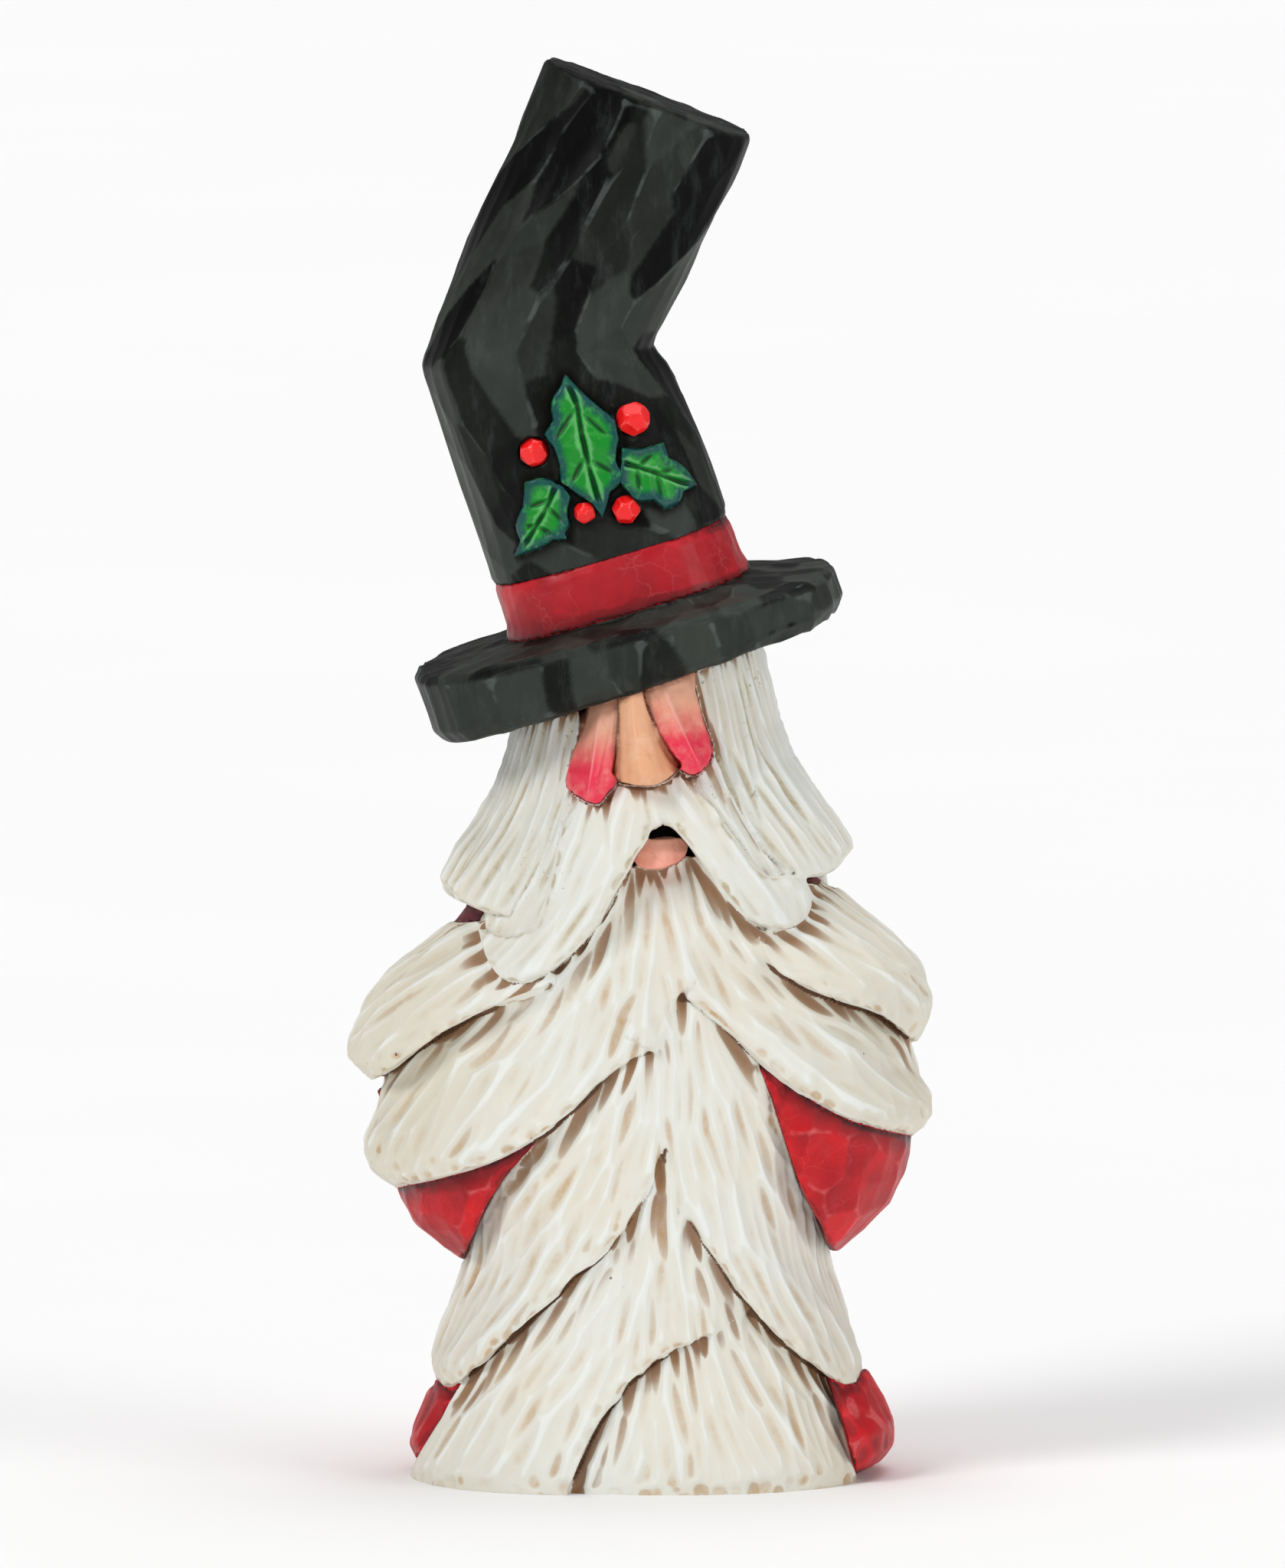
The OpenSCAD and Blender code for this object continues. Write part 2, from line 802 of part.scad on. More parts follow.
module o_left_back() polygon(concat(
    smooth([[-12, 200], [-12.5, 160], [-15, 135], [-18, 118], [-25, 104], [-30, 98]]),
    smooth([[-36, 106], [-40, 114], [-46, 121], [-56, 126]]),
    [[-far, 200]]));
module o_centre_back() polygon(concat(
    smooth([[-16, 200], [-16, 160], [-19, 135], [-20, 118], [-12, 101], [1, 91]]),
    smooth([[10, 98], [18, 110], [20, 122], [17, 140], [16, 160], [16, 200]])));
module o_right_back() polygon(concat(
    [[12, 200]],
    smooth([[12, 160], [15, 135], [19, 118], [27, 105], [33, 101]]),
    smooth([[37, 109], [42, 118], [47, 128], [56, 133]]),
    [[far, 200]]));
module o_back_all() {
    union() {
        o_left_back();
        o_centre_back();
        o_right_back();
    }
}
module back_lock() {
    color([0.9, 0.87, 0.8]) difference() {
        intersection() {
            form(back_hair_rows, 2.3, 32);
            behind_hair_seam();
            under_hat();
            rotate([90, 0, 0]) linear_extrude(height = 200, center = true) children(0);
        }
        body_cores();
    }
}
module left_back_hair() {
    back_lock() difference() {
        o_left_back();
        o_centre_back();
    }
}
module right_back_hair() {
    back_lock() difference() {
        o_right_back();
        o_centre_back();
    }
}
module centre_back_hair() {
    back_lock() o_centre_back();
}

// ---- hat ----

module plug() {
    in_hat() cylinder(r = plug_r, h = band_top);
}
module hat_brim() {
    color([0.13, 0.13, 0.14]) difference() {
        in_hat() form([
            [0, -brim_r + 1, brim_r - 4.6, 40, 38.6, 0.03],
            [3, -brim_r - 1.2, brim_r - 1.8, 42, 40.4, 0.024],
            [brim_h - 0.6, -brim_r - 1, brim_r - 1.8, 42, 40.4, -0.034],
            [brim_h + 0.8, -brim_r + 0.4, brim_r - 3.4, 40.6, 39, -0.034],
            [brim_h + 1.6, -brim_r + 8, brim_r - 10, 34.4, 33.4, -0.024],
            [brim_h + 3.5, -26.8, 27.6, 28.6, 28]], 3.2, 40);
        plug();
        hat_dowel_shape();
    }
}
module hat_band() {
    color([0.72, 0.07, 0.1]) difference() {
        in_hat() form([
            [brim_h + 3.5, -26.8, 27.6, 28.6, 28],
            [brim_h + 6, -26, 26.8, 28.6, 28],
            [band_top - 2, -25.8, 26, 28.6, 28],
            [band_top, -25.2, 25.2, 28, 27.4]], 3, 36);
        plug();
    }
}
module crown_solid() {
    intersection() {
        form(crown_rows, 3, 24);
        in_hat() translate([-far, -far, band_top]) cube([2 * far, 2 * far, 200]);
        translate([-18, 0, 304.2]) rotate([0, 21, 0]) translate([-far, -far, -200])
            cube([2 * far, 2 * far, 200]);
    }
}
module hat_crown() {
    color([0.13, 0.13, 0.14]) difference() {
        union() {
            difference() {
                crown_solid();
                holly_seat() union() {
                    o_leaf_top();
                    o_leaf_left();
                    o_leaf_right();
                }
            }
            plug();
        }
        hat_dowel_shape();
        berries();
    }
}

// ---- holly ----

// The prism that a leaf is let into, in front of the crown's middle
module holly_seat() {
    intersection() {
        through() children(0);
        translate([-far, -far, 170]) cube([2 * far, far - 21, 90]);
    }
}
module o_leaf_top() polygon(concat(
    smooth([[-17.5, 235.5], [-13.4, 231.2], [-9.8, 228.2], [-7, 226]]),
    smooth([[-6, 222], [-6.7, 218], [-5.6, 214], [-6, 212]]),
    smooth([[-8, 210.4], [-8.6, 207.6], [-9.5, 204.8]]),
    smooth([[-11.6, 208], [-15, 210], [-18.5, 212.5]]),
    smooth([[-18.6, 216], [-19.8, 219.6], [-22, 222.5]]),
    smooth([[-20, 225.6], [-20.4, 229.6], [-18.4, 233]])));
module o_leaf_left() polygon(concat(
    smooth([[-26, 212.5], [-22, 213.4], [-18, 211.5]]),
    smooth([[-16.2, 209.4], [-17, 206.4], [-16.4, 203.5]]),
    smooth([[-17.6, 201.6], [-17, 200.3]]),
    smooth([[-20, 200.2], [-23, 198.5], [-28.5, 196.5]]),
    smooth([[-27, 200], [-28, 203.4], [-26.4, 207.6]])));
module o_leaf_right() polygon(concat(
    smooth([[-5.5, 220], [-1.5, 219.6], [3.5, 221]]),
    smooth([[4.6, 217.6], [7.4, 216.2], [11, 212]]),
    smooth([[7.6, 210.6], [7, 208.4], [4, 206.7]]),
    smooth([[1.4, 208.8], [-2, 208.6], [-5.5, 212]]),
    [[-5.6, 216]]));

module holly_leaf() {
    color([0.1, 0.5, 0.25]) difference() {
        intersection() {
            form([
                [190, -33.4, 22, 27 + leaf_out, 10],
                [202, -37.4, 18.6, 28 + leaf_out, 10],
                [214, -41.4, 15, 28 + leaf_out, 10],
                [226, -45.2, 10.6, 27 + leaf_out, 10],
                [240, -48, 4.2, 24.8 + leaf_out, 10],
                [250, -46, 4, 22.6 + leaf_out, 10]], 3, 24);
            holly_seat() children(0);
        }
        berries();
        in_hat() translate([-far, -far, -20]) cube([2 * far, 2 * far, 20 + band_top]);
    }
}
module holly_leaf_top() {
    holly_leaf() o_leaf_top();
}
module holly_leaf_left() {
    holly_leaf() difference() {
        o_leaf_left();
        o_leaf_top();
    }
}
module holly_leaf_right() {
    holly_leaf() difference() {
        o_leaf_right();
        o_leaf_top();
    }
}

// A berry's centre is given as drawn on the front, with its depth
module berry(x, v, r, y) {
    rotate([90 - seam_tilt, 0, 0]) translate([x, v, y]) sphere(r = r);
}
module top_berry() berry(-3, 226, 3.7, 50.3);
module left_berry() berry(-24, 219, 3.5, 48.6);
module middle_berry() berry(-4.5, 206.6, 3.1, 50.2);
module low_berry() berry(-13.3, 206, 2.4, 51);
module berries() {
    top_berry();
    left_berry();
    middle_berry();
    low_berry();
}
module holly_berry_top() {
    color([0.8, 0.05, 0.08]) top_berry();
}
module holly_berry_left() {
    color([0.8, 0.05, 0.08]) left_berry();
}
module holly_berry_middle() {
    color([0.8, 0.05, 0.08]) middle_berry();
}
module holly_berry_low() {
    color([0.8, 0.05, 0.08]) low_berry();
}

coat_body();
left_sleeve();
right_sleeve();
head_block();
head_dowel();
hat_dowel();
nose();
left_cheek();
right_cheek();
lower_lip();
left_moustache();
right_moustache();
left_sideburn();
right_sideburn();
beard_chin();
beard_left_shoulder();
beard_left_upper();
beard_left_middle();
beard_left_lower();
beard_centre_lower();
beard_right_middle();
beard_right_upper();
beard_right_shoulder();
left_hair();
right_hair();
left_back_hair();
centre_back_hair();
right_back_hair();
hat_brim();
hat_band();
hat_crown();
holly_leaf_top();
holly_leaf_left();
holly_leaf_right();
holly_berry_top();
holly_berry_left();
holly_berry_middle();
holly_berry_low();
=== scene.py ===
import math

import bpy
import numpy as np
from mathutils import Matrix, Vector
from mathutils.bvhtree import BVHTree


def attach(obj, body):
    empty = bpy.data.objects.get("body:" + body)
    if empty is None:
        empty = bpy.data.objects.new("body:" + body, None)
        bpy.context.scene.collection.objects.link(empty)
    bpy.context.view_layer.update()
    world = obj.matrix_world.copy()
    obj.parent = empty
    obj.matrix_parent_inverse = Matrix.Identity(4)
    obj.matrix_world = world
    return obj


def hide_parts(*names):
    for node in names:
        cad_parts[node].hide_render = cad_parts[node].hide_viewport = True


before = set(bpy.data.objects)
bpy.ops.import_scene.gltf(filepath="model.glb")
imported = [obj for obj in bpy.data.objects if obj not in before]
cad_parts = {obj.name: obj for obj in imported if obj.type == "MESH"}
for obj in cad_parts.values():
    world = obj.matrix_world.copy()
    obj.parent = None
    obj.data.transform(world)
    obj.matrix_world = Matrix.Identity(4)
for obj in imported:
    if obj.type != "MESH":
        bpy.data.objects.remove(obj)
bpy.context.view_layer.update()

TILT = math.radians(6)
C6, S6 = math.cos(TILT), math.sin(TILT)
COARSE = 1.0

# ---------------------------------------------------------------- CAD solids in millimetres


def solid(name):
    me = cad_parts[name].data
    me.calc_loop_triangles()
    p = np.empty(len(me.vertices) * 3)
    t = np.empty(len(me.loop_triangles) * 3, np.int64)
    me.vertices.foreach_get("co", p)
    me.loop_triangles.foreach_get("vertices", t)
    return p.reshape(-1, 3) * 1000, t.reshape(-1, 3)


SOLIDS = {n: solid(n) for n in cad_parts}


def others(names, only=None):
    """A search tree of every piece outside names, or of those in only."""
    ps, ts, k = [], [], 0
    for n, (p, t) in SOLIDS.items():
        if n not in names and (only is None or n in only):
            ps.append(p)
            ts.append(t + k)
            k += len(p)
    return BVHTree.FromPolygons(np.concatenate(ps).tolist(), np.concatenate(ts).tolist())


def gather(names):
    """The solids in names as one soup of triangles, with the number of each triangle's piece."""
    ps, ts, ls, k = [], [], [], 0
    for i, n in enumerate(names):
        p, t = SOLIDS[n]
        ps.append(p)
        ts.append(t + k)
        ls.append(np.full(len(t), i))
        k += len(p)
    return np.concatenate(ps), np.concatenate(ts), np.concatenate(ls)


def voxel_skin(names, size):
    """An even mesh of quads over the CAD solids: points, quads."""
    p, t, _ = gather(names)
    me = bpy.data.meshes.new("t")
    me.from_pydata(p.tolist(), [], t.tolist())
    ob = bpy.data.objects.new("t", me)
    bpy.context.scene.collection.objects.link(ob)
    mod = ob.modifiers.new("r", "REMESH")
    mod.mode, mod.voxel_size, mod.adaptivity = "VOXEL", size * COARSE, 0
    dg = bpy.context.evaluated_depsgraph_get()
    got = ob.evaluated_get(dg).to_mesh()
    q = np.empty(len(got.loops), np.int64)
    v = np.empty(len(got.vertices) * 3)
    got.loops.foreach_get("vertex_index", q)
    got.vertices.foreach_get("co", v)
    ob.evaluated_get(dg).to_mesh_clear()
    bpy.data.objects.remove(ob)
    bpy.data.meshes.remove(me)
    return v.reshape(-1, 3), q.reshape(-1, 4)


class Skin:
    """Neighbour sums over a quad mesh."""

    def __init__(self, n, quads):
        a = np.concatenate([quads[:, k] for k in range(4)] * 2)
        b = np.concatenate([quads[:, (k + 1) % 4] for k in range(4)] + [quads[:, (k + 3) % 4] for k in range(4)])
        order = np.argsort(a, kind="stable")
        a, self.b = a[order], b[order]
        self.start = np.searchsorted(a, np.arange(n))
        self.count = np.maximum(np.bincount(a, minlength=n), 1)
        self.q = quads

    def mean(self, f):
        s = np.add.reduceat(f[self.b], self.start, axis=0)
        return s / (self.count[:, None] if f.ndim > 1 else self.count)

    def blur(self, f, times, weight=1.0):
        for _ in range(max(1, round(times / COARSE**2)) if times else 0):
            f = f + (self.mean(f) - f) * weight
        return f

    def normals(self, p):
        q = self.q
        fn = np.cross(p[q[:, 2]] - p[q[:, 0]], p[q[:, 3]] - p[q[:, 1]])
        n = np.zeros_like(p)
        for k in range(4):
            for c in range(3):
                n[:, c] += np.bincount(q[:, k], fn[:, c], len(p))
        return n / (np.linalg.norm(n, axis=1)[:, None] + 1e-12)


def step(a, b, x):
    t = np.clip((x - a) / (b - a), 0, 1)
    return t * t * (3 - 2 * t)


# ---------------------------------------------------------------- carving


class Sheet:
    """Gouge cuts laid on an unrolled surface: depth and tone, deepest cut wins."""

    def __init__(self, radius, z0, z1, pitch=0.25):
        self.nu = int(round(2 * math.pi * radius / pitch))
        self.h, self.z0 = 2 * math.pi * radius / self.nu, z0
        self.nz = int((z1 - z0) / self.h) + 3
        self.H = np.zeros((self.nz, self.nu))
        self.T = np.zeros((self.nz, self.nu))

    def cut(self, u, z, ang, a, b, d, bend=0.0, tilt=(0.0, 0.0), tone_and_sheen=0.0, p=2.6, skew=0.0):
        s, c = math.sin(math.radians(ang)), math.cos(math.radians(ang))
        sag = abs(bend) * a * a / 2
        eu, ez = abs(a * s) + abs((b + sag) * c), abs(a * c) + abs((b + sag) * s)
        i = np.arange(int((u - eu) / self.h), int((u + eu) / self.h) + 2)
        j = np.arange(max(0, int((z - ez - self.z0) / self.h)), min(self.nz, int((z + ez - self.z0) / self.h) + 2))
        if not len(j):
            return
        du, dz = (i * self.h - u)[None, :], (j * self.h + self.z0 - z)[:, None]
        S, W = du * s - dz * c, du * c + dz * s
        W = W - bend * S * S / 2
        r = S / a
        r = np.abs(r - skew * (1 - r * r))
        h = -d + d * (W / b) ** 2 + d * r**p + tilt[0] * W + tilt[1] * S
        cols = (i + self.nu // 2) % self.nu
        H = self.H[np.ix_(j, cols)]
        low = h < H
        self.H[np.ix_(j, cols)] = np.where(low, h, H)
        self.T[np.ix_(j, cols)] = np.where(low, tone_and_sheen, self.T[np.ix_(j, cols)])

    def read(self, u, z):
        x, y = u / self.h + self.nu // 2, np.clip((z - self.z0) / self.h, 0, self.nz - 1.001)
        i, j = np.floor(x).astype(int), np.floor(y).astype(int)
        fx, fy = x - i, y - j
        a, b = i % self.nu, (i + 1) % self.nu
        H = self.H
        h = (H[j, a] * (1 - fx) + H[j, b] * fx) * (1 - fy) + (H[j + 1, a] * (1 - fx) + H[j + 1, b] * fx) * fy
        near = self.T[np.round(y).astype(int), np.round(x).astype(int) % self.nu]
        return h, near


def heading(flow, u, z):
    """Direction of the cuts at a place, from a few given ones: degrees from straight down."""
    w = 1 / ((flow[:, 0] - u) ** 2 + (flow[:, 1] - z) ** 2 + 20) ** 1.5
    return float((w * flow[:, 2]).sum() / w.sum())


def scatter(sheet, rng, box, flow, a, b, d, gap_u, gap_z, wild=5.0, tilt=0.0, bend=0.0, tones=1.0,
            vary=0.2, skip=0.0):
    """Rows of overlapping cuts along the flow inside box = (u0, u1, z0, z1)."""
    u0, u1, z0, z1 = box
    flow = np.array(flow, float)
    rows = int((z1 - z0) / gap_z) + 2
    for r in range(rows):
        cols = int((u1 - u0) / gap_u) + 2
        for c in range(cols):
            u = u0 + (c + 0.5 * (r % 2) + rng.uniform(-0.35, 0.35)) * gap_u
            if abs(u) < skip:
                continue
            z = z0 + (r + rng.uniform(-0.5, 0.5)) * gap_z
            g = heading(flow, u, z)
            g2 = heading(flow, u + math.sin(math.radians(g)) * 3, z - math.cos(math.radians(g)) * 3)
            k = -math.radians(g2 - g) / 3
            size = rng.uniform(0.85, 1.15) if bend else 1
            sheet.cut(u, z, g + rng.normal(0, wild), a * size, b * size, d * rng.uniform(1 - vary, 1 + vary),
                      k + rng.normal(0, bend) if bend else 0, rng.normal(0, tilt, 2) if tilt else (0, 0),
                      rng.uniform(-1, 1) * tones, 2)


def cells(p, size, seed):
    """Nearest scattered seed in space: squared distance and a number per cell."""
    g = np.floor(p / size).astype(np.int64)
    best, mark = np.full(len(p), 1e9), np.zeros(len(p))
    for dx in (-1, 0, 1):
        for dy in (-1, 0, 1):
            for dz in (-1, 0, 1):
                c = g + (dx, dy, dz)
                k = (c[:, 0] * 73856093) ^ (c[:, 1] * 19349663) ^ (c[:, 2] * 83492791) ^ (seed * 2654435761)
                r = []
                for m in range(4):
                    k = (k * 6364136223846793005 + 1442695040888963407) & 0x7FFFFFFFFFFFFFFF
                    r.append(((k >> 24) & 0xFFFFF) / 0xFFFFF)
                s = (c + np.stack(r[:3], 1)) * size
                d2 = ((p - s) ** 2).sum(1)
                near = d2 < best
                best = np.where(near, d2, best)
                mark = np.where(near, r[3] * 2 - 1, mark)
    return best, mark


# ---------------------------------------------------------------- where a surface point lies when unrolled

HAT_Z, HAT_TILT = 173.3, math.radians(16.6)
CROWN_AXIS = np.array([[170, -0.9], [190, -5], [202, -8.4], [214, -12.2], [226, -16.3], [234, -19.5], [239.6, -21.8],
                       [244, -22.7], [250, -20.4], [258, -16.5], [270, -11.3], [282, -5.7], [294, -0.9], [312, 6.4]])


def unroll_body(p, R):
    return np.arctan2(p[:, 0], -p[:, 1]) * R, p[:, 2]


def unroll_crown(p, R):
    cx = np.interp(p[:, 2], CROWN_AXIS[:, 0], CROWN_AXIS[:, 1])
    return np.arctan2(p[:, 0] - cx, -p[:, 1]) * R, p[:, 2]


def hat_local(p):
    c, s = math.cos(HAT_TILT), math.sin(HAT_TILT)
    z = p[:, 2] - HAT_Z
    return np.stack([p[:, 0] * c + z * s, p[:, 1], -p[:, 0] * s + z * c], 1)


def unroll_brim(p, R):
    q = hat_local(p)
    return np.arctan2(q[:, 0], -q[:, 1]) * R, q[:, 2]


def front_view(p, R=0):
    return p[:, 0], p[:, 2] * C6 + p[:, 1] * S6


# ---------------------------------------------------------------- one piece

BODY_R = 44
MATERIALS = {}


def ux(x):
    """Front-view x to the unrolled body."""
    return BODY_R * math.asin(max(-1, min(1, x / 53)))


def line_distance(x, v, pts):
    """Distance from points of the front view to a bent line."""
    best = np.full(len(x), 1e9)
    for (x0, v0), (x1, v1) in zip(pts, pts[1:]):
        dx, dv = x1 - x0, v1 - v0
        t = np.clip(((x - x0) * dx + (v - v0) * dv) / (dx * dx + dv * dv), 0, 1)
        best = np.minimum(best, np.hypot(x - x0 - t * dx, v - v0 - t * dv))
    return best


def inner_radius(z):
    """Radius of the body core and head block at a height."""
    return np.where(z < 106, 28.1, 29.1 - (z - 106) * 10 / 86)


def write_piece(name, P, Q, N, attrs, mat):
    me = bpy.data.meshes.new(name + "_carved")
    me.vertices.add(len(P))
    me.vertices.foreach_set("co", (P * 0.001).ravel())
    me.loops.add(len(Q) * 4)
    me.loops.foreach_set("vertex_index", Q.ravel())
    me.polygons.add(len(Q))
    me.polygons.foreach_set("loop_start", np.arange(len(Q)) * 4)
    me.polygons.foreach_set("use_smooth", np.ones(len(Q), bool))
    me.update(calc_edges=True)
    me.validate()
    for key, val in attrs.items():
        me.attributes.new(key, "FLOAT", "POINT").data.foreach_set("value", val.astype(np.float32))
    me.normals_split_custom_set_from_vertices(N.tolist())
    ob = bpy.data.objects.new(name + "_carved", me)
    bpy.context.scene.collection.objects.link(ob)
    me.materials.append(mat)
    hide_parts(name)
    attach(ob, "root")
    return ob


def make(names, mats, voxel=0.5, unroll=unroll_body, R=BODY_R, sheets=(), soften=8, rim=(3.6, 0.55, 0.15, 0.55),
         rim_round=0.5, seed=1, top=True, ref=0.0, slits=(), joins=None, sharp=0.22,
         over=None, tuck=0.0, wide=50, local=14):
    """Carved pieces over CAD solids: softened free edges, gouge cuts, small cuts along the rims, masks for wash and
    painted shade.

    Several names are carved as one surface and then parted along the CAD's own seams."""
    names = [names] if isinstance(names, str) else names
    P, Q = voxel_skin(names, voxel)
    sk = Skin(len(P), Q)
    near = others(names)
    N = sk.normals(P)
    lab = np.zeros(len(P), int)
    if len(names) > 1:
        gp, gt, gl = gather(names)
        own = BVHTree.FromPolygons(gp.tolist(), gt.tolist())
        lab = np.array([gl[own.find_nearest(p)[2]] for p in P.tolist()])
    dist = np.full(len(P), 30.0)
    face = np.zeros(len(P))
    for i, (p, n) in enumerate(zip(P.tolist(), N.tolist())):
        hit = near.find_nearest(p, 12)
        if hit[0] is not None:
            dist[i] = hit[3]
            face[i] = n[0] * hit[1][0] + n[1] * hit[1][1] + n[2] * hit[1][2]
    wall = step(-0.55, -0.85, face) * step(0.7, 0.3, dist)
    wall = np.maximum(wall, step(0.3, 0.05, P[:, 2]) * step(-0.5, -0.9, N[:, 2]))
    P0 = P.copy()
    fx, fv = front_view(P)
    slit_at = np.full(len(P), 99.0)
    below = np.full(len(P), 9.0)
    dig = np.zeros(len(P))
    for pts, low, depth, pale in slits:
        d = line_distance(fx, fv, pts)
        slit_at = np.minimum(slit_at, d)
        under = np.isin(lab, [names.index(n) for n in low])
        below = np.where(under, np.minimum(below, d + pale), below)
        ends = step(0, 5, np.minimum(np.hypot(fx - pts[0][0], fv - pts[0][1]), 5) + 0.6)
        dig = np.where(under, np.maximum(dig, depth * ends * step(0.9, 0.1, d)), dig)
    if len(names) > 1:
        a = np.repeat(np.arange(len(P)), np.diff(np.append(sk.start, len(sk.b))))
        if joins is None:
            seam = lab[a] != lab[sk.b]
        else:
            pairs = {tuple(sorted((names.index(m), names.index(n)))) for m, n in joins}
            code = {i * 99 + j for i, j in pairs}
            lo, hi = np.minimum(lab[a], lab[sk.b]), np.maximum(lab[a], lab[sk.b])
            seam = np.isin(lo * 99 + hi, list(code))
        seam = np.minimum(np.add.reduceat(seam.astype(float), sk.start), 1)
        W = step(0.01, 0.06, sk.blur(seam, 70)) * step(1.5, 5.0, slit_at) * (1 - wall)
        P = sk.blur(P, 150, 0.95 * W[:, None])
    free = step(0.25, 1.4, dist) * step(0.2, 0.8, P[:, 2])
    probe = sk.blur(P, wide)
    edge = ((P - probe) * N).sum(1)
    P = sk.blur(P, soften, 0.6 * free[:, None])
    rimw = step(rim[2], rim[3], edge) * step(0.1, 0.8, dist)
    above = near if over is None else others(names, over)
    if over is not None:
        lid = np.full(len(P), 9.0)
        proud = np.zeros(len(P))
        for i, p in enumerate(P.tolist()):
            hit = above.find_nearest(p, 9)
            if hit[0] is not None:
                lid[i] = hit[3]
                proud[i] = math.hypot(p[0], p[1]) - math.hypot(hit[0][0], hit[0][1])
        rimw = rimw * step(2.0, 5.0, lid)
        for pts, low, depth, pale in slits:
            rimw = rimw * step(2.0, 7.0, np.hypot(fx - pts[0][0], fv - pts[0][1]))
    rimw = np.clip(sk.blur(rimw, 3), 0, 1)
    D = sk.blur(N * (1 - wall)[:, None] + N * 1e-3, 5)
    D /= np.linalg.norm(D, axis=1)[:, None] + 1e-9
    u, z = unroll(P, R)
    rng = np.random.default_rng(seed * 7919 + 13)
    h, tone_and_sheen = np.zeros(len(P)), np.zeros(len(P))
    for who, carve in sheets:
        mine = np.isin(lab, [names.index(n) for n in who]) if who else np.ones(len(P), bool)
        sheet = Sheet(R if unroll is not front_view else 30, z[mine].min() - 2, z[mine].max() + 2)
        carve(sheet, rng, (u[mine].min(), u[mine].max(), z[mine].min(), z[mine].max()), P, N)
        h[mine], tone_and_sheen[mine] = sheet.read(u[mine], z[mine])
    h = h + ref
    small, mark = cells(P, rim[0], seed)
    hr = np.minimum(-rim[1] + rim[1] * small / (0.36 * rim[0] ** 2), 0) - rim_round * rimw
    up = np.abs(N[:, 2]) if unroll is not unroll_brim else np.abs(hat_local(N + [0, 0, HAT_Z])[:, 2])
    side = step(0.92, 0.75, up) if top else 1.0
    w = np.maximum(rimw, 1 - side)
    h = (h * (1 - w) + hr * w) * (1 - wall)
    carved = h
    h = h - dig * (1 - wall)
    foot = step(0.0, 1.0, P[:, 2])
    h = h * foot
    tone_and_sheen = sk.blur(np.where(w > 0.5, mark, tone_and_sheen), 1)
    P = P + D * h[:, None] + N * (0.1 * wall * foot)[:, None]
    if tuck:
        sink = sk.blur(np.clip(proud + tuck, 0, 2.6) * step(4.5, 1.2, lid) * (1 - wall), 4)
        P[:, :2] *= (1 - sink / np.maximum(np.hypot(P[:, 0], P[:, 1]), 5))[:, None]
    P[:, 2] = np.where(P0[:, 2] < 0.26 * COARSE, 0, np.maximum(P[:, 2], 0))
    N2 = sk.normals(P)
    cav = np.clip((sk.blur(carved, local) - carved) / sharp, -1.5, 2)
    # gap: how near a point lies under or against a neighbouring piece, or in a deep hollow; the paints darken by it, as
    # brown wash and painted shade
    gap = np.full(len(P), 9.0)
    X = P + N2 * 1.7
    for i in np.nonzero((wall < 0.5) & (dist < 9))[0].tolist():
        hit = above.find_nearest(X[i].tolist(), 8)
        if hit[0] is not None:
            d = np.array(hit[0]) - P[i]
            k = float(d @ N2[i])
            gap[i] = math.sqrt(max(0.0, float(d @ d) - k * k)) + max(0.0, (0.3 if tuck else 0.9) - k) * 8
    gap = np.minimum(np.clip(gap, 0, 9), below)
    gap = np.minimum(gap, 9 - 9 * np.sqrt(step(0.3, 1.0, -edge)))
    attrs = {"cav": cav, "gap": gap, "tone_and_sheen": tone_and_sheen, "rim": rimw, "seam": np.clip(dist, 0, 9), "fx": fx, "fv": fv,
             "edge": edge}
    if len(names) == 1:
        return [write_piece(names[0], P, Q, N2, attrs, mats[0])]
    made = []
    ql = lab[Q[:, 0]]
    n = len(P)
    ei, ej = Q.ravel(), np.roll(Q, -1, axis=1).ravel()
    eq = np.repeat(np.arange(len(Q)), 4)
    key = np.minimum(ei, ej) * n + np.maximum(ei, ej)
    order = np.argsort(key, kind="stable")
    same = np.nonzero(key[order][1:] == key[order][:-1])[0]
    ea, eb = order[same], order[same + 1]
    cutline = ql[eq[ea]] != ql[eq[eb]]
    rims = np.concatenate([ea[cutline], eb[cutline]])
    r = np.hypot(P[:, 0], P[:, 1])
    deep = P.copy()
    k = np.minimum((inner_radius(P[:, 2]) + 0.2) / np.maximum(r, 1), 0.995)
    deep[:, :2] *= k[:, None]
    for i, name in enumerate(names):
        q = Q[ql == i]
        w = rims[ql[eq[rims]] == i]
        w = w[(r[ei[w]] > inner_radius(P[ei[w], 2]) + 0.8) & (r[ej[w]] > inner_radius(P[ej[w], 2]) + 0.8)]
        used = np.unique(q)
        at = np.zeros(n, int)
        at[used] = np.arange(len(used))
        o = len(used) + np.arange(len(w)) * 4
        pts = [P[used], np.stack([P[ej[w]], P[ei[w]], deep[ei[w]], deep[ej[w]]], 1).reshape(-1, 3)]
        src = np.concatenate([used, np.stack([ej[w], ei[w], ei[w], ej[w]], 1).ravel()])
        wn = np.cross(P[ei[w]] - P[ej[w]], deep[ei[w]] - P[ej[w]])
        wn /= np.linalg.norm(wn, axis=1)[:, None] + 1e-12
        nn = np.concatenate([N2[used], np.repeat(wn, 4, 0)])
        qq = np.concatenate([at[q], o[:, None] + np.arange(4)])
        made.append(write_piece(name, np.concatenate(pts), qq, nn, {k: v[src] for k, v in attrs.items()},
                                mats[i]))
    return made


# ---------------------------------------------------------------- materials


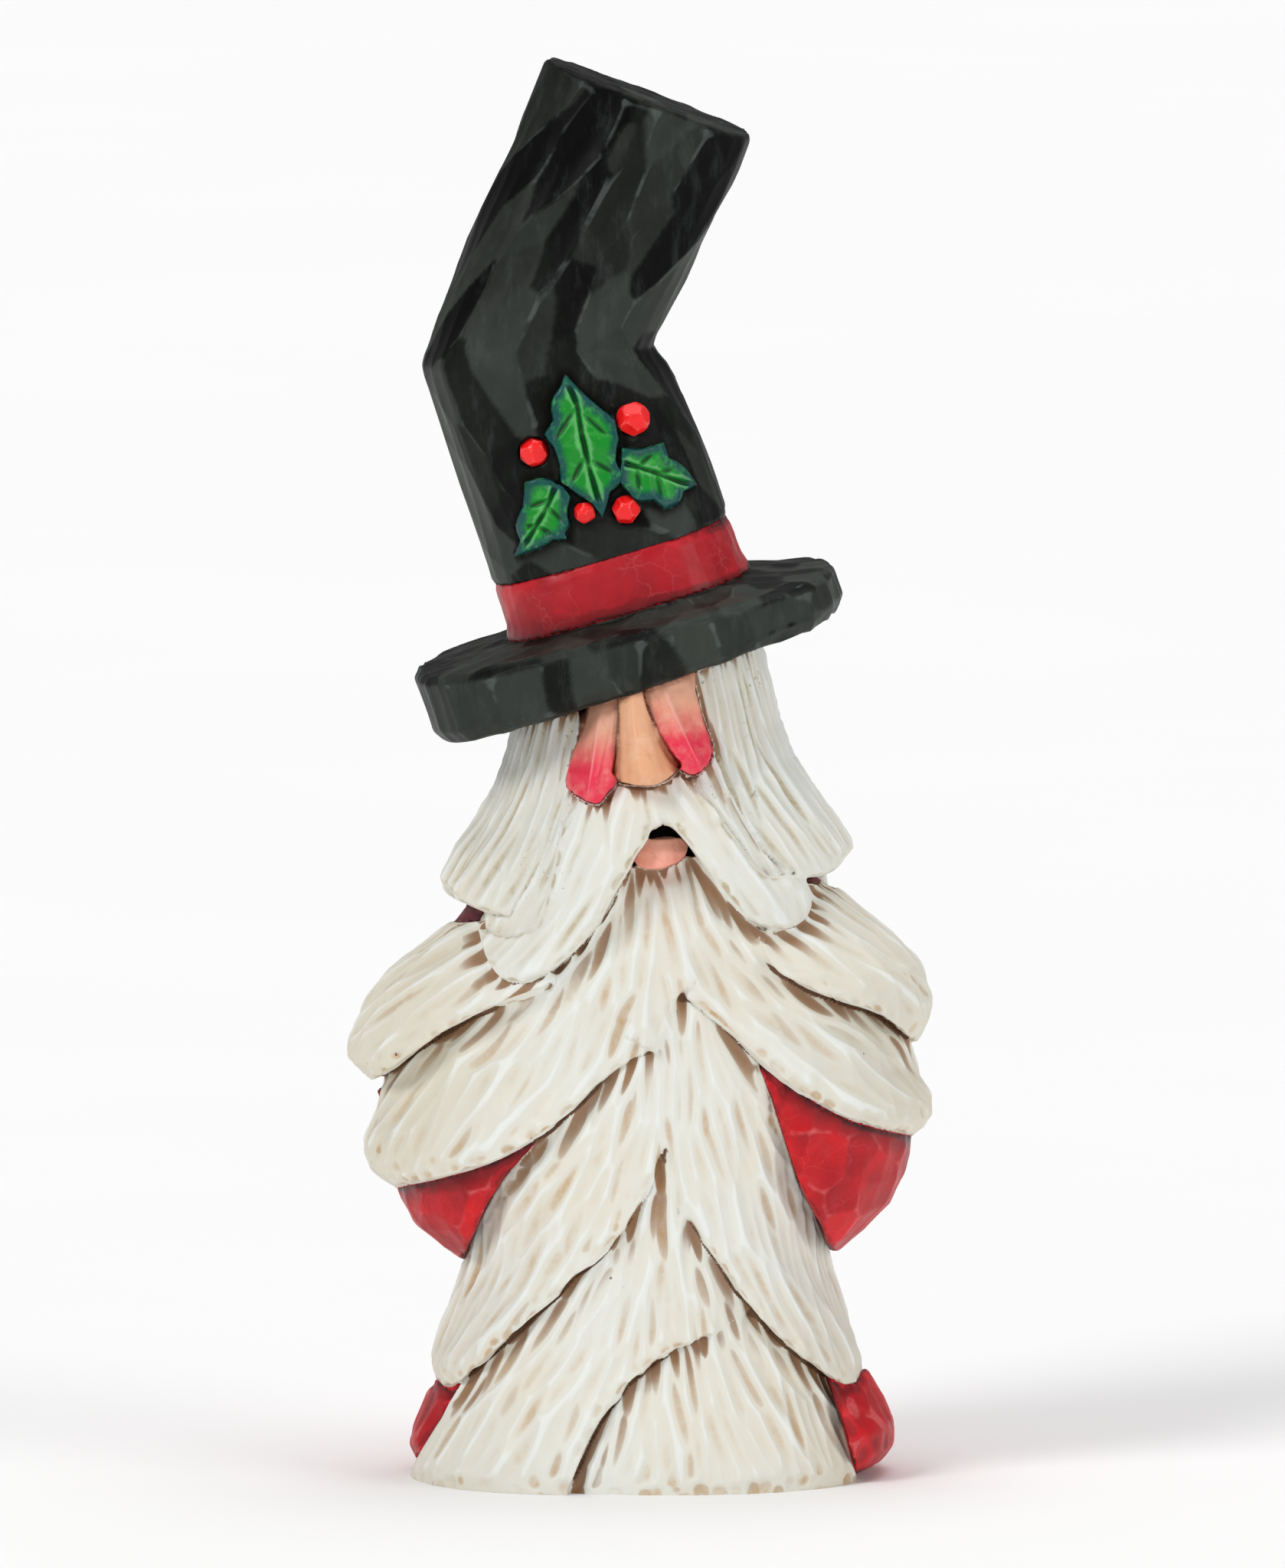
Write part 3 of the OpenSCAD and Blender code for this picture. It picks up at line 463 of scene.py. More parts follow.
class Nodes:
    def __init__(self, name):
        self.m = bpy.data.materials.new(name)
        self.m.use_nodes = True
        self.t = self.m.node_tree
        self.t.nodes.clear()
        self.out = self.t.nodes.new("ShaderNodeOutputMaterial")
        self.bsdf = self.t.nodes.new("ShaderNodeBsdfPrincipled")
        self.t.links.new(self.bsdf.outputs[0], self.out.inputs[0])
        self.co = self.t.nodes.new("ShaderNodeTexCoord").outputs["Object"]

    def put(self, sock, v):
        if isinstance(v, bpy.types.NodeSocket):
            self.t.links.new(v, sock)
        elif hasattr(sock.default_value, "__len__") and hasattr(v, "__len__"):
            sock.default_value = tuple(v) + (1.0,) * (len(sock.default_value) - len(v))
        else:
            sock.default_value = v

    def math(self, op, a, b=0.0, clamp=False):
        n = self.t.nodes.new("ShaderNodeMath")
        n.operation, n.use_clamp = op, clamp
        self.put(n.inputs[0], a)
        self.put(n.inputs[1], b)
        return n.outputs[0]

    def attr(self, name):
        n = self.t.nodes.new("ShaderNodeAttribute")
        n.attribute_name = name
        return n.outputs["Fac"]

    def ramp(self, x, a, b, lo=0.0, hi=1.0):
        n = self.t.nodes.new("ShaderNodeMapRange")
        n.interpolation_type = "SMOOTHSTEP"
        for k, v in zip(range(5), (x, a, b, lo, hi)):
            self.put(n.inputs[k], v)
        return n.outputs[0]

    def noise(self, scale, detail=4.0, rough=0.55, stretch=None, warp=0.0, w=0.0):
        n = self.t.nodes.new("ShaderNodeTexNoise")
        n.inputs["Scale"].default_value = scale
        n.inputs["Detail"].default_value = detail
        n.inputs["Roughness"].default_value = rough
        n.inputs["Distortion"].default_value = warp
        m = self.t.nodes.new("ShaderNodeMapping")
        self.t.links.new(self.co, m.inputs[0])
        m.inputs["Location"].default_value = (w, w * 0.7, w * 0.3)
        if stretch:
            m.inputs["Scale"].default_value = stretch
        self.t.links.new(m.outputs[0], n.inputs["Vector"])
        return n.outputs[0]

    def cracks(self, scale, width, w=0.0):
        n = self.t.nodes.new("ShaderNodeTexVoronoi")
        n.feature = "DISTANCE_TO_EDGE"
        n.inputs["Scale"].default_value = scale
        m = self.t.nodes.new("ShaderNodeMapping")
        m.inputs["Location"].default_value = (w, w, w)
        j = self.t.nodes.new("ShaderNodeTexNoise")
        j.inputs["Scale"].default_value = scale * 1.6
        j.inputs["Detail"].default_value = 3
        self.t.links.new(self.co, j.inputs["Vector"])
        v = self.t.nodes.new("ShaderNodeVectorMath")
        v.operation = "MULTIPLY_ADD"
        self.t.links.new(j.outputs["Color"], v.inputs[0])
        v.inputs[1].default_value = (0.7 / scale,) * 3
        self.t.links.new(self.co, v.inputs[2])
        self.t.links.new(v.outputs[0], m.inputs[0])
        self.t.links.new(m.outputs[0], n.inputs["Vector"])
        return self.ramp(n.outputs[0], 0.0, width, 1.0, 0.0)

    def mix(self, f, a, b, mode="MIX"):
        n = self.t.nodes.new("ShaderNodeMix")
        n.data_type, n.blend_type = "RGBA", mode
        self.put(n.inputs["Factor"], f)
        self.put(n.inputs[6], a)
        self.put(n.inputs[7], b)
        return n.outputs[2]

    def bump(self, h, distance, strength=1.0, after=None):
        n = self.t.nodes.new("ShaderNodeBump")
        n.inputs["Strength"].default_value = strength
        n.inputs["Distance"].default_value = distance
        self.put(n.inputs["Height"], h)
        if after:
            self.t.links.new(after, n.inputs["Normal"])
        return n.outputs[0]

    def done(self, colour, rough, normal, spec=0.4, coat=0.0):
        b = self.bsdf
        self.put(b.inputs["Base Color"], colour)
        self.put(b.inputs["Roughness"], rough)
        self.put(b.inputs["Normal"], normal)
        b.inputs["Specular IOR Level"].default_value = spec
        if coat:
            b.inputs["Coat Weight"].default_value = coat
            b.inputs["Coat Roughness"].default_value = 0.25
        return self.m


def rgb(r, g, b):
    """A colour given as it looks, 0 to 255."""
    return tuple((c / 255 / 12.92) if c / 255 <= 0.04045 else ((c / 255 + 0.055) / 1.055) ** 2.4 for c in (r, g, b))


def white_paint(name, white, tan, wash_and_shade_len, cream, grain=1.0, speck=0.0):
    """Off-white paint, rubbed brown wash in the cuts, and brown wash with painted shade under the locks."""
    n = Nodes(name)
    cav, gap, tone_and_sheen, rim = n.attr("cav"), n.attr("gap"), n.attr("tone_and_sheen"), n.attr("rim")
    patch = n.noise(55, 3, 0.6)
    fine = n.noise(900, 3, 0.6, w=3.0)
    mid = n.noise(260, 4, 0.6, w=7.0)
    base = n.mix(n.ramp(n.noise(30, 3), 0.3, 0.7), white, rgb(232, 228, 214))
    # darker, yellower paint towards the left and right of the front view
    flank = n.ramp(n.math("ABSOLUTE", n.attr("fx")), 18.0, 54.0, 0.0, cream)
    base = n.mix(flank, base, rgb(214, 203, 178))
    # brown rubbed into the troughs, in patches
    t = n.math("MULTIPLY", n.ramp(cav, 0.1, 1.1), n.ramp(n.math("ADD", patch, n.math("MULTIPLY", tone_and_sheen, 0.13)), 0.33, 0.62, 0.1, 1.0))
    t = n.math("MULTIPLY", t, n.ramp(mid, 0.3, 0.6, 0.6, 1.0))
    t = n.math("MULTIPLY", t, n.ramp(fine, 0.3, 0.65, 0.7, 1.0))
    col = n.mix(n.math("MULTIPLY", t, 0.8), base, tan)
    # saw-tooth brown wash with painted shade under each lock, longer in the troughs, and a dark line of wash and
    # painted shade in the slit itself
    jag = n.math("MULTIPLY", n.math("SUBTRACT", mid, 0.5), 1.0)
    reach = n.math("MULTIPLY", n.ramp(cav, -0.25, 0.6), n.math("ADD", n.math("MULTIPLY", tone_and_sheen, 0.45 * wash_and_shade_len), wash_and_shade_len))
    d = n.math("DIVIDE", n.math("ADD", gap, jag), n.math("ADD", n.math("MAXIMUM", reach, 0.0), 0.6))
    w2 = n.ramp(d, 1.2, 0.2)
    col = n.mix(n.math("MULTIPLY", w2, 0.85), col, rgb(140, 92, 46))
    w1 = n.ramp(n.math("ADD", gap, jag), 0.6, 0.1)
    col = n.mix(n.math("MULTIPLY", w1, 0.75), col, rgb(84, 52, 30))
    # pale rubbed ridges
    col = n.mix(n.math("MULTIPLY", n.ramp(cav, -0.2, -1.2, 0.0, 0.75), n.ramp(w2, 0.6, 0.1)), col, rgb(243, 246, 243))
    if speck:
        s = n.math("MULTIPLY", n.ramp(n.noise(800, 3, 0.6, w=11.0), 0.68 - speck, 0.76 - speck), n.ramp(patch, 0.5, 0.66, 0.0, 0.55))
        col = n.mix(s, col, rgb(92, 66, 44))
    dot = n.ramp(n.noise(420, 1, 0.4, w=23.0), 0.81, 0.84)
    col = n.mix(n.math("MULTIPLY", dot, 0.8), col, rgb(60, 42, 32))
    bump = n.bump(n.math("ADD", n.math("MULTIPLY", fine, 0.35), mid), 0.00022 * grain, 0.5)
    return n.done(col, n.ramp(mid, 0.3, 0.7, 0.5, 0.64), bump, 0.32)


def black_paint(name):
    n = Nodes(name)
    cav, gap, tone_and_sheen = n.attr("cav"), n.attr("gap"), n.attr("tone_and_sheen")
    brush = n.noise(260, 5, 0.7, stretch=(1.0, 1.0, 0.28))
    fine = n.noise(1400, 3, 0.6, w=5.0)
    cloud = n.noise(60, 4, 0.6, w=9.0)
    # flat brightness: a random paint value on most cuts, and on the hat's front flats a painted reflection of the
    # light, plus clouds; the low specular leaves the painted reflection to carry the flats
    f = n.math("ADD", n.math("MULTIPLY", tone_and_sheen, 0.55), n.math("MULTIPLY", n.math("SUBTRACT", cloud, 0.5), 0.7))
    # darker towards the top of the crown in the front view
    f = n.math("ADD", f, n.ramp(n.attr("fv"), 235, 275, 0.0, -0.28))
    f = n.ramp(n.math("ADD", f, n.math("MULTIPLY", n.math("SUBTRACT", brush, 0.5), 0.3)), -0.65, 1.0)
    col = n.mix(f, rgb(8, 9, 8), rgb(68, 73, 68))
    col = n.mix(n.math("MULTIPLY", n.ramp(brush, 0.5, 0.75), 0.15), col, rgb(98, 104, 103))
    edge = n.math("MULTIPLY", n.ramp(cav, -0.5, -1.4), n.ramp(n.noise(120, 3, 0.6, w=2.0), 0.42, 0.6))
    col = n.mix(n.math("MULTIPLY", edge, 0.35), col, rgb(112, 120, 117))
    col = n.mix(n.math("MULTIPLY", n.ramp(cav, 0.3, 1.4), 0.25), col, rgb(10, 12, 12))
    # near-black close under and against the band, brim and leaves: painted shade
    col = n.mix(n.math("MULTIPLY", n.ramp(gap, 2.4, 0.4), 0.75), col, rgb(14, 10, 9))
    h = n.math("ADD", n.math("MULTIPLY", fine, 0.3), brush)
    return n.done(col, n.ramp(brush, 0.3, 0.7, 0.36, 0.5), n.bump(h, 0.0002, 0.4), 0.07)


def red_paint(name, deep, bright, pale, cracks, dusky=0.0):
    n = Nodes(name)
    cav, gap, tone_and_sheen = n.attr("cav"), n.attr("gap"), n.attr("tone_and_sheen")
    cloud, fine = n.noise(70, 4, 0.6), n.noise(900, 3, 0.6, w=4.0)
    brush = n.noise(240, 4, 0.65, w=8.0)
    f = n.ramp(n.math("ADD", n.math("MULTIPLY", tone_and_sheen, 0.15), n.math("MULTIPLY", n.math("SUBTRACT", cloud, 0.5), 1.0)), -0.5, 0.45)
    col = n.mix(f, deep, bright)
    col = n.mix(n.math("MULTIPLY", n.ramp(brush, 0.5, 0.8), 0.3), col, rgb(196, 70, 74))
    ridge = n.math("MULTIPLY", n.ramp(cav, -0.3, -1.1), n.ramp(brush, 0.35, 0.6))
    col = n.mix(n.math("MULTIPLY", ridge, 0.6), col, pale)
    crack = n.math("MULTIPLY", n.cracks(170, 0.035), n.ramp(n.noise(90, 2, w=6.0), 0.42, 0.6))
    col = n.mix(n.math("MULTIPLY", crack, cracks), col, pale)
    col = n.mix(n.math("MULTIPLY", n.ramp(cav, 0.3, 1.4), 0.45), col, rgb(84, 12, 20))
    # darker red, then near-black, close under and against neighbouring pieces: painted shade
    g = n.math("ADD", gap, n.math("MULTIPLY", n.math("SUBTRACT", brush, 0.5), 2.5))
    col = n.mix(n.math("MULTIPLY", n.ramp(g, 5.5, 0.8), 0.6), col, rgb(74, 10, 18))
    col = n.mix(n.math("MULTIPLY", n.ramp(g, 1.6, 0.2), 0.85), col, rgb(28, 8, 8))
    # darker, greyer red higher than about 104 to 116 mm in the front view
    if dusky:
        col = n.mix(n.ramp(n.attr("fv"), 104.0, 116.0, 0.0, 0.75 * dusky), col, rgb(84, 48, 56))
    h = n.math("ADD", n.math("MULTIPLY", fine, 0.3), brush)
    return n.done(col, n.ramp(brush, 0.3, 0.7, 0.36, 0.52), n.bump(h, 0.0002, 0.4), 0.3)


def leaf_paint(name):
    n = Nodes(name)
    cav, gap, seam, edge = n.attr("cav"), n.attr("gap"), n.attr("seam"), n.attr("edge")
    brush, cloud = n.noise(420, 4, 0.65), n.noise(150, 3, 0.6, w=3.0)
    mixc = n.ramp(n.math("ADD", n.attr("rimd"), n.math("MULTIPLY", n.math("SUBTRACT", cloud, 0.5), 2.0)), 0.1, 1.9)
    col = n.mix(mixc, rgb(14, 76, 74), rgb(16, 138, 38))
    col = n.mix(n.math("MULTIPLY", n.ramp(brush, 0.5, 0.72), 0.45), col, rgb(80, 196, 84))
    col = n.mix(n.math("MULTIPLY", n.ramp(cav, -0.3, -1.1), 0.45), col, rgb(130, 206, 136))
    col = n.mix(n.math("MULTIPLY", n.ramp(cav, 0.45, 1.5), 0.85), col, rgb(6, 44, 26))
    return n.done(col, n.ramp(brush, 0.3, 0.7, 0.3, 0.46), n.bump(brush, 0.0002, 0.5), 0.3)


def berry_paint(name):
    n = Nodes(name)
    brush = n.noise(380, 4, 0.6)
    col = n.mix(n.ramp(brush, 0.3, 0.7), rgb(246, 14, 20), rgb(255, 30, 32))
    # paler red on the ridges between the flats: painted highlight
    col = n.mix(n.math("MULTIPLY", n.ramp(n.attr("cav"), -0.4, -1.2), 0.4), col, rgb(255, 110, 106))
    # dark red close against the leaves and other berries: painted shade
    col = n.mix(n.math("MULTIPLY", n.ramp(n.attr("gap"), 1.2, 0.2), 0.8), col, rgb(60, 6, 10))
    return n.done(col, n.ramp(brush, 0.3, 0.7, 0.22, 0.34), n.bump(brush, 0.00012, 0.4), 0.4)


def skin_paint(name, top, low, v0, v1, slope, ridge, seam_wash_and_shade=1.0):
    """Face paint that changes colour down the front, with brown wash and painted shade in the seams."""
    n = Nodes(name)
    v = n.math("ADD", n.attr("fv"), n.math("MULTIPLY", n.attr("fx"), slope))
    brush, fine = n.noise(260, 4, 0.6), n.noise(1100, 3, 0.6, w=4.0)
    v = n.math("ADD", v, n.math("MULTIPLY", n.math("SUBTRACT", brush, 0.5), 4.0))
    col = n.mix(n.ramp(v, v1, v0), top, low)
    col = n.mix(n.math("MULTIPLY", n.ramp(brush, 0.45, 0.75), 0.25), col, rgb(250, 214, 190))
    crack = n.math("MULTIPLY", n.cracks(200, 0.03, 2.0), n.ramp(n.noise(90, 2, w=6.0), 0.42, 0.6))
    col = n.mix(n.math("MULTIPLY", crack, 0.22), col, rgb(150, 92, 72))
    col = n.mix(n.math("MULTIPLY", n.ramp(n.attr("cav"), -0.35, -1.1), ridge), col, rgb(255, 196, 190))
    # brown, then dark brown, close to the neighbouring pieces: wash and painted shade in the seams
    s = n.math("ADD", n.attr("seam"), n.math("MULTIPLY", n.math("SUBTRACT", brush, 0.5), 1.6))
    col = n.mix(n.math("MULTIPLY", n.ramp(s, 1.6, 0.4), 0.4 * seam_wash_and_shade), col, rgb(140, 70, 48))
    col = n.mix(n.math("MULTIPLY", n.ramp(s, 0.45, 0.1), 0.6 * seam_wash_and_shade), col, rgb(80, 42, 28))
    return n.done(col, n.ramp(brush, 0.3, 0.7, 0.42, 0.56), n.bump(n.math("ADD", n.math("MULTIPLY", fine, 0.4), brush), 0.00018, 0.4), 0.4)


def brown_paint(name, a, b):
    n = Nodes(name)
    grain = n.noise(160, 5, 0.6, stretch=(1.0, 1.0, 0.12))
    col = n.mix(n.ramp(grain, 0.3, 0.7), a, b)
    return n.done(col, n.ramp(grain, 0.3, 0.7, 0.55, 0.75), n.bump(grain, 0.0002, 0.5), 0.25)


beard_mat = white_paint("beard_paint", rgb(235, 236, 228), rgb(200, 160, 104), 6.4, 0.4)
hair_mat = white_paint("hair_paint", rgb(234, 237, 230), rgb(182, 160, 114), 2.6, 0.2, speck=0.07)
hat_mat = black_paint("hat_paint")
band_mat = red_paint("band_paint", rgb(150, 16, 28), rgb(212, 30, 42), rgb(220, 110, 112), 0.2)
coat_mat = red_paint("coat_paint", rgb(130, 8, 20), rgb(226, 22, 32), rgb(222, 104, 106), 0.14, 1.0)
leaf_mat = leaf_paint("leaf_paint")
berry_mat = berry_paint("berry_paint")
nose_mat = skin_paint("nose_paint", rgb(238, 180, 140), rgb(234, 172, 130), 150, 165, 0.0, 0.4)
lcheek_mat = skin_paint("left_cheek_paint", rgb(244, 180, 148), rgb(238, 48, 78), 150, 162, 0.0, 0.35)
rcheek_mat = skin_paint("right_cheek_paint", rgb(244, 180, 148), rgb(238, 48, 78), 156, 168, 0.0, 0.35)
lip_mat = skin_paint("lip_paint", rgb(255, 186, 164), rgb(255, 168, 148), 131, 136, 0.0, 0.4, 0.35)
# dark brown head block, seen in the mouth and any gap between pieces: dark paint and painted shade of the mouth cavity
core_mat = brown_paint("core_paint", rgb(44, 24, 16), rgb(70, 40, 26))
dowel_mat = brown_paint("dowel_wood", rgb(176, 140, 98), rgb(206, 172, 126))

# ---------------------------------------------------------------- carving of each kind


def beard_cuts(flow, a=13, b=2.8, d=1.2, gap_u=3.8, gap_z=12.0, wild=5):
    pts = [(ux(x), v + 4, g) for x, v, g in flow]

    def carve(sheet, rng, box, P, N):
        scatter(sheet, rng, box, pts, a, b, d, gap_u, gap_z, wild, 0.0, 0.003)

    return carve


FLOW = {
    "beard_chin": [(-8, 125, -20), (3, 125, 0), (10, 122, 30), (-15, 112, -30), (0, 110, 0), (14, 112, 36)],
    "beard_left_shoulder": [(-30, 115, -42), (-45, 105, -48), (-50, 95, -48), (-35, 100, -42)],
    "beard_right_shoulder": [(35, 118, 45), (48, 108, 45), (52, 100, 40), (40, 105, 50)],
    "beard_left_upper": [(-20, 95, -28), (-38, 85, -22), (-46, 75, -20), (-8, 92, -36), (-30, 68, -48), (-15, 80, -38)],
    "beard_right_upper": [(18, 100, 42), (35, 92, 48), (48, 85, 50), (52, 80, 42), (8, 108, 20)],
    "beard_left_middle": [(-8, 72, -20), (-15, 55, -33), (-28, 40, -34), (-36, 28, -38), (-8, 62, -22), (-3, 85, -6)],
    "beard_right_middle": [(5, 85, 6), (12, 70, 20), (22, 50, 28), (32, 35, 30), (42, 22, 25), (8, 55, 16)],
    "beard_left_lower": [(0, 50, -14), (-20, 25, -32), (-35, 8, -26), (-42, 3, -26), (-15, 15, -24)],
    "beard_centre_lower": [(0, 12, 0), (-8, 6, -16), (15, 15, 14), (30, 10, 18), (42, 5, 14), (12, 25, 8)],
    "left_hair": [(-22, 158, -7), (-28, 145, -18), (-36, 130, -34), (-20, 130, -13), (-26, 122, -20)],
    "right_hair": [(22, 168, 8), (24, 150, 18), (34, 140, 34), (40, 133, 40), (20, 140, 24)],
    "left_moustache": [(-4, 147, -12), (-10, 138, -24), (-12, 128, -28), (-20, 116, -38), (-26, 111, -44)],
    "right_moustache": [(4, 148, 28), (10, 142, 38), (18, 130, 40), (26, 122, 44), (31, 120, 30)],
    "left_sideburn": [(-19, 140, -8), (-27, 124, -26), (-34, 118, -42)],
    "right_sideburn": [(16, 144, 28), (24, 134, 36)],
}
BEARD = ["beard_chin", "beard_left_shoulder", "beard_right_shoulder", "beard_left_upper", "beard_right_upper",
         "beard_left_middle", "beard_right_middle", "beard_left_lower", "beard_centre_lower"]
LM, RM, LL, CL = "beard_left_middle", "beard_right_middle", "beard_left_lower", "beard_centre_lower"
SLITS = [  # the line, the pieces below it, how deep it is dug, how far the dark wash and painted shade keep off
    ([(-34, 100.2), (-39, 97.5), (-48, 92), (-57, 85.5), (-64, 81.5)], ["beard_left_upper"], 1.0, 0),
    ([(-0.5, 91), (-6, 87.4), (-15, 79.5), (-24, 72), (-34, 66.8)], [LM, RM], 1.3, 0),
    ([(3.5, 70), (0, 61.5), (-5, 52.5), (-15, 43), (-25, 33.5), (-35, 24.5), (-41, 19.1)], [LL, CL], 1.3, 0),
    ([(28, 108.6), (31, 106), (40, 102), (50, 98.6), (57, 93), (62, 90.5)], ["beard_right_upper"], 1.0, 0),
    ([(7.4, 103.8), (14, 98.5), (23, 90), (33, 82)], [LM, RM], 1.3, 0),
    ([(10, 53), (12, 51), (18.5, 41), (27, 30.6), (37, 22.4), (42, 19.4)], [LL, CL], 1.2, 0),
    ([(13, 29.8), (4, 26), (-4, 19.6), (-10, 12), (-16, -1.5)], [CL], 1.3, 0),
]
HEAD = ["left_hair", "right_hair", "left_back_hair", "centre_back_hair", "right_back_hair", "left_sideburn",
        "right_sideburn", "left_moustache", "right_moustache"]
FACE = ["nose", "left_cheek", "right_cheek", "lower_lip"]
make(BEARD, [beard_mat] * 9, 0.42, sheets=[([], beard_cuts([f for n in BEARD for f in FLOW[n]]))],
     seed=11, slits=SLITS, ref=0.7, soften=4, over=HEAD + ["lower_lip"], rim=(4.0, 0.7, 0.15, 0.8), rim_round=0.2, wide=110,
     tuck=0.6, sharp=0.3, local=34)


def back_cuts(sheet, rng, box, P, N):
    r = sheet.h * sheet.nu / 2
    lh, rh = [(ux(x), v + 3, g) for x, v, g in FLOW["left_hair"]], [(ux(x), v + 3, g) for x, v, g in FLOW["right_hair"]]
    flow = lh + rh + [(-80, 130, -8), (80, 140, 8), (-115, 130, 14), (115, 130, -14), (-r, 120, 0), (r, 120, 0),
                      (-r, 160, 0), (r, 160, 0)]
    scatter(sheet, rng, (-r, r, box[2], box[3]), flow, 20, 2.2, 1.15, 3.1, 18, 3, 0, 0.001)


HEAD_SLITS = [
    ([(-15.8, 152), (-18.5, 144), (-23, 131), (-30, 119.7)], ["left_sideburn", "left_moustache"], 0.6, 1.0),
    ([(13, 160), (14, 157), (19, 144), (25, 134), (30, 130)], ["right_sideburn", "right_moustache"], 0.7, 0.8),
    ([(13, 144), (17, 139), (24.5, 129.4), (28, 128.3)], ["right_sideburn"], 0.3, 1.2)]
make(HEAD, [hair_mat] * 9, 0.42, seed=31, ref=0.7, soften=4, slits=HEAD_SLITS,
     sheets=[(HEAD[:5], back_cuts),
             (HEAD[5:7], beard_cuts(FLOW["left_sideburn"] + FLOW["right_sideburn"], 14, 2.0, 0.9, 2.7, 12, 3)),
             (HEAD[7:], beard_cuts(FLOW["left_moustache"] + FLOW["right_moustache"], 16, 1.9, 0.85, 2.5, 14, 3))],
     joins=[("left_hair", "left_back_hair"), ("right_hair", "right_back_hair"), ("left_moustache", "right_moustache")],
     rim_round=0.3, over=["hat_brim", "nose", "left_cheek", "right_cheek"], rim=(3.4, 0.5, 0.15, 0.6), sharp=0.28, local=30)


def facet_cuts(a, b, d, gap_u, gap_z, ang=0.0, wild=25.0, tilt=0.06):
    def carve(sheet, rng, box, P, N):
        r = sheet.h * sheet.nu / 2
        full = box[1] - box[0] > 1.6 * r
        span = (-r, r, box[2], box[3]) if full else box
        scatter(sheet, rng, span, [(0, 0, ang), (0, 300, ang)], a, b, d, gap_u, gap_z, wild, tilt, 0.0, 1.0, 0.1)

    return carve


make("coat_body", [coat_mat], 0.8, sheets=[([], facet_cuts(14, 10, 1.9, 9, 12, 0, 18))], seed=51,
     sharp=0.13, soften=4, rim=(6, 0.5, 0.3, 0.9), rim_round=0.2, ref=1.6)
make("left_sleeve", [coat_mat], 0.5, sheets=[([], facet_cuts(12, 9, 1.9, 7.5, 9, -35, 28))], seed=52,
     sharp=0.13, soften=3, ref=1.6, rim=(6, 0.5, 0.3, 0.9), rim_round=0.2)
make("right_sleeve", [coat_mat], 0.5, sheets=[([], facet_cuts(12, 9, 1.9, 7.5, 9, 35, 28))], seed=53,
     sharp=0.13, soften=3, ref=1.6, rim=(6, 0.5, 0.3, 0.9), rim_round=0.2)


def snap(P, N, x, v, unroll, R):
    """The unrolled place of the front surface seen at (x, v)."""
    fx, fv = front_view(P)
    d = (fx - x) ** 2 + (fv - v) ** 2 + np.where(N[:, 1] < 0.1, 0, 400)
    k = np.argsort(d)[:24]
    i = k[np.argmin(P[k, 1] + np.sqrt(d[k]) * 4)]
    u, z = unroll(P[i:i + 1], R)
    return float(u[0]), float(z[0])


HAT_FACETS = [  # x, v, direction, depth and painted brightness of the flats that face the front, a painted reflection of the light on each flat
    (-24.5, 290, -24, 2.1, 0.3), (-38.5, 261, -24, 2.1, 0.5), (-45, 246, -22, 2.1, 0.5), (-26, 281, -23, 2.1, -0.9),
    (-34, 269, -24, 2.2, -1.0), (-40.5, 250, -20, 2.2, -1.0), (-29.5, 256, -18, 2.1, 0.35), (-24, 263, -20, 2.0, 0.6),
    (-32.4, 239, 8, 2.0, 0.75), (-31.2, 227.5, 6, 1.8, 0.6), (-12, 289, -8, 2.1, -0.6), (-17, 270, -6, 2.1, -0.5),
    (-16, 255, 2, 2.0, -0.6), (4.7, 287, -6, 2.15, 1.0), (2.2, 274, -10, 2.1, 0.5), (1.3, 263, -12, 2.0, 0.4),
    (-8.7, 266, -6, 2.1, 0.2), (-8.7, 255, 4, 2.0, 0.15), (9.7, 271, -24, 2.1, -0.8), (15, 281, -24, 2.1, -0.5),
    (12, 262, -24, 2.1, 0.6), (6, 253, -26, 2.1, 0.8), (1, 248, -40, 2.0, 0.85), (2, 238, 28, 2.1, -0.95),
    (-3.5, 236, 32, 2.0, 0.6), (-10.3, 243, 10, 2.0, 0.9), (-22, 243.5, -6, 2.0, 0.25), (-17, 240, 4, 1.85, -0.4),
    (-38.5, 230, 14, 2.1, -0.4), (-36.5, 217, 14, 2.0, -0.3), (-45, 233, 14, 2.1, 0.35), (-41, 219, 14, 2.1, 0.3),
    (-36, 205, 14, 2.05, 0.9), (-29.5, 219, 12, 1.95, -0.6), (-28.5, 205, 12, 2.0, -0.5), (-21, 229, 4, 1.9, -0.6),
    (-12, 222, 8, 1.9, -0.7), (-3, 226, 20, 1.9, -0.7), (9.7, 217, 16, 2.0, 0.1), (6.3, 226, 24, 1.9, -0.4),
    (5, 211, 16, 1.9, -0.3), (14, 216, 16, 2.15, -0.9), (7.2, 205, 40, 1.95, 0.9), (-20.5, 196, 70, 1.95, 0.75),
    (-6, 199.5, 72, 1.9, 0.0), (14, 206, 16, 2.05, -0.7)]


def crown_cuts(sheet, rng, box, P, N):
    r = sheet.h * sheet.nu / 2
    scatter(sheet, rng, (-r, r, 180, 310), [(0, 200, 15), (0, 236, 8), (0, 250, -20), (0, 300, -22)], 26, 9, 2.1, 9.5,
            19, 5, 0.05, 0.0, 0.4, 0.06, 36)
    # each front flat is cut with its painted brightness, a painted reflection of the light, and tilts up with it
    for x, v, g, d, t in HAT_FACETS:
        u, z = snap(P, N, x, v, unroll_crown, 24)
        sheet.cut(u, z, g, 24, 9, d, 0.0, (rng.normal(0, 0.04), 0.05 * t), t, 2)
    sheet.H = np.minimum(sheet.H, -1.3)


make("hat_crown", [hat_mat], 0.45, unroll=unroll_crown, R=24, sheets=[([], crown_cuts)], seed=61,
     soften=2, rim=(7, 0.45, 0.35, 0.9), rim_round=0.25, ref=1.75, sharp=0.11)


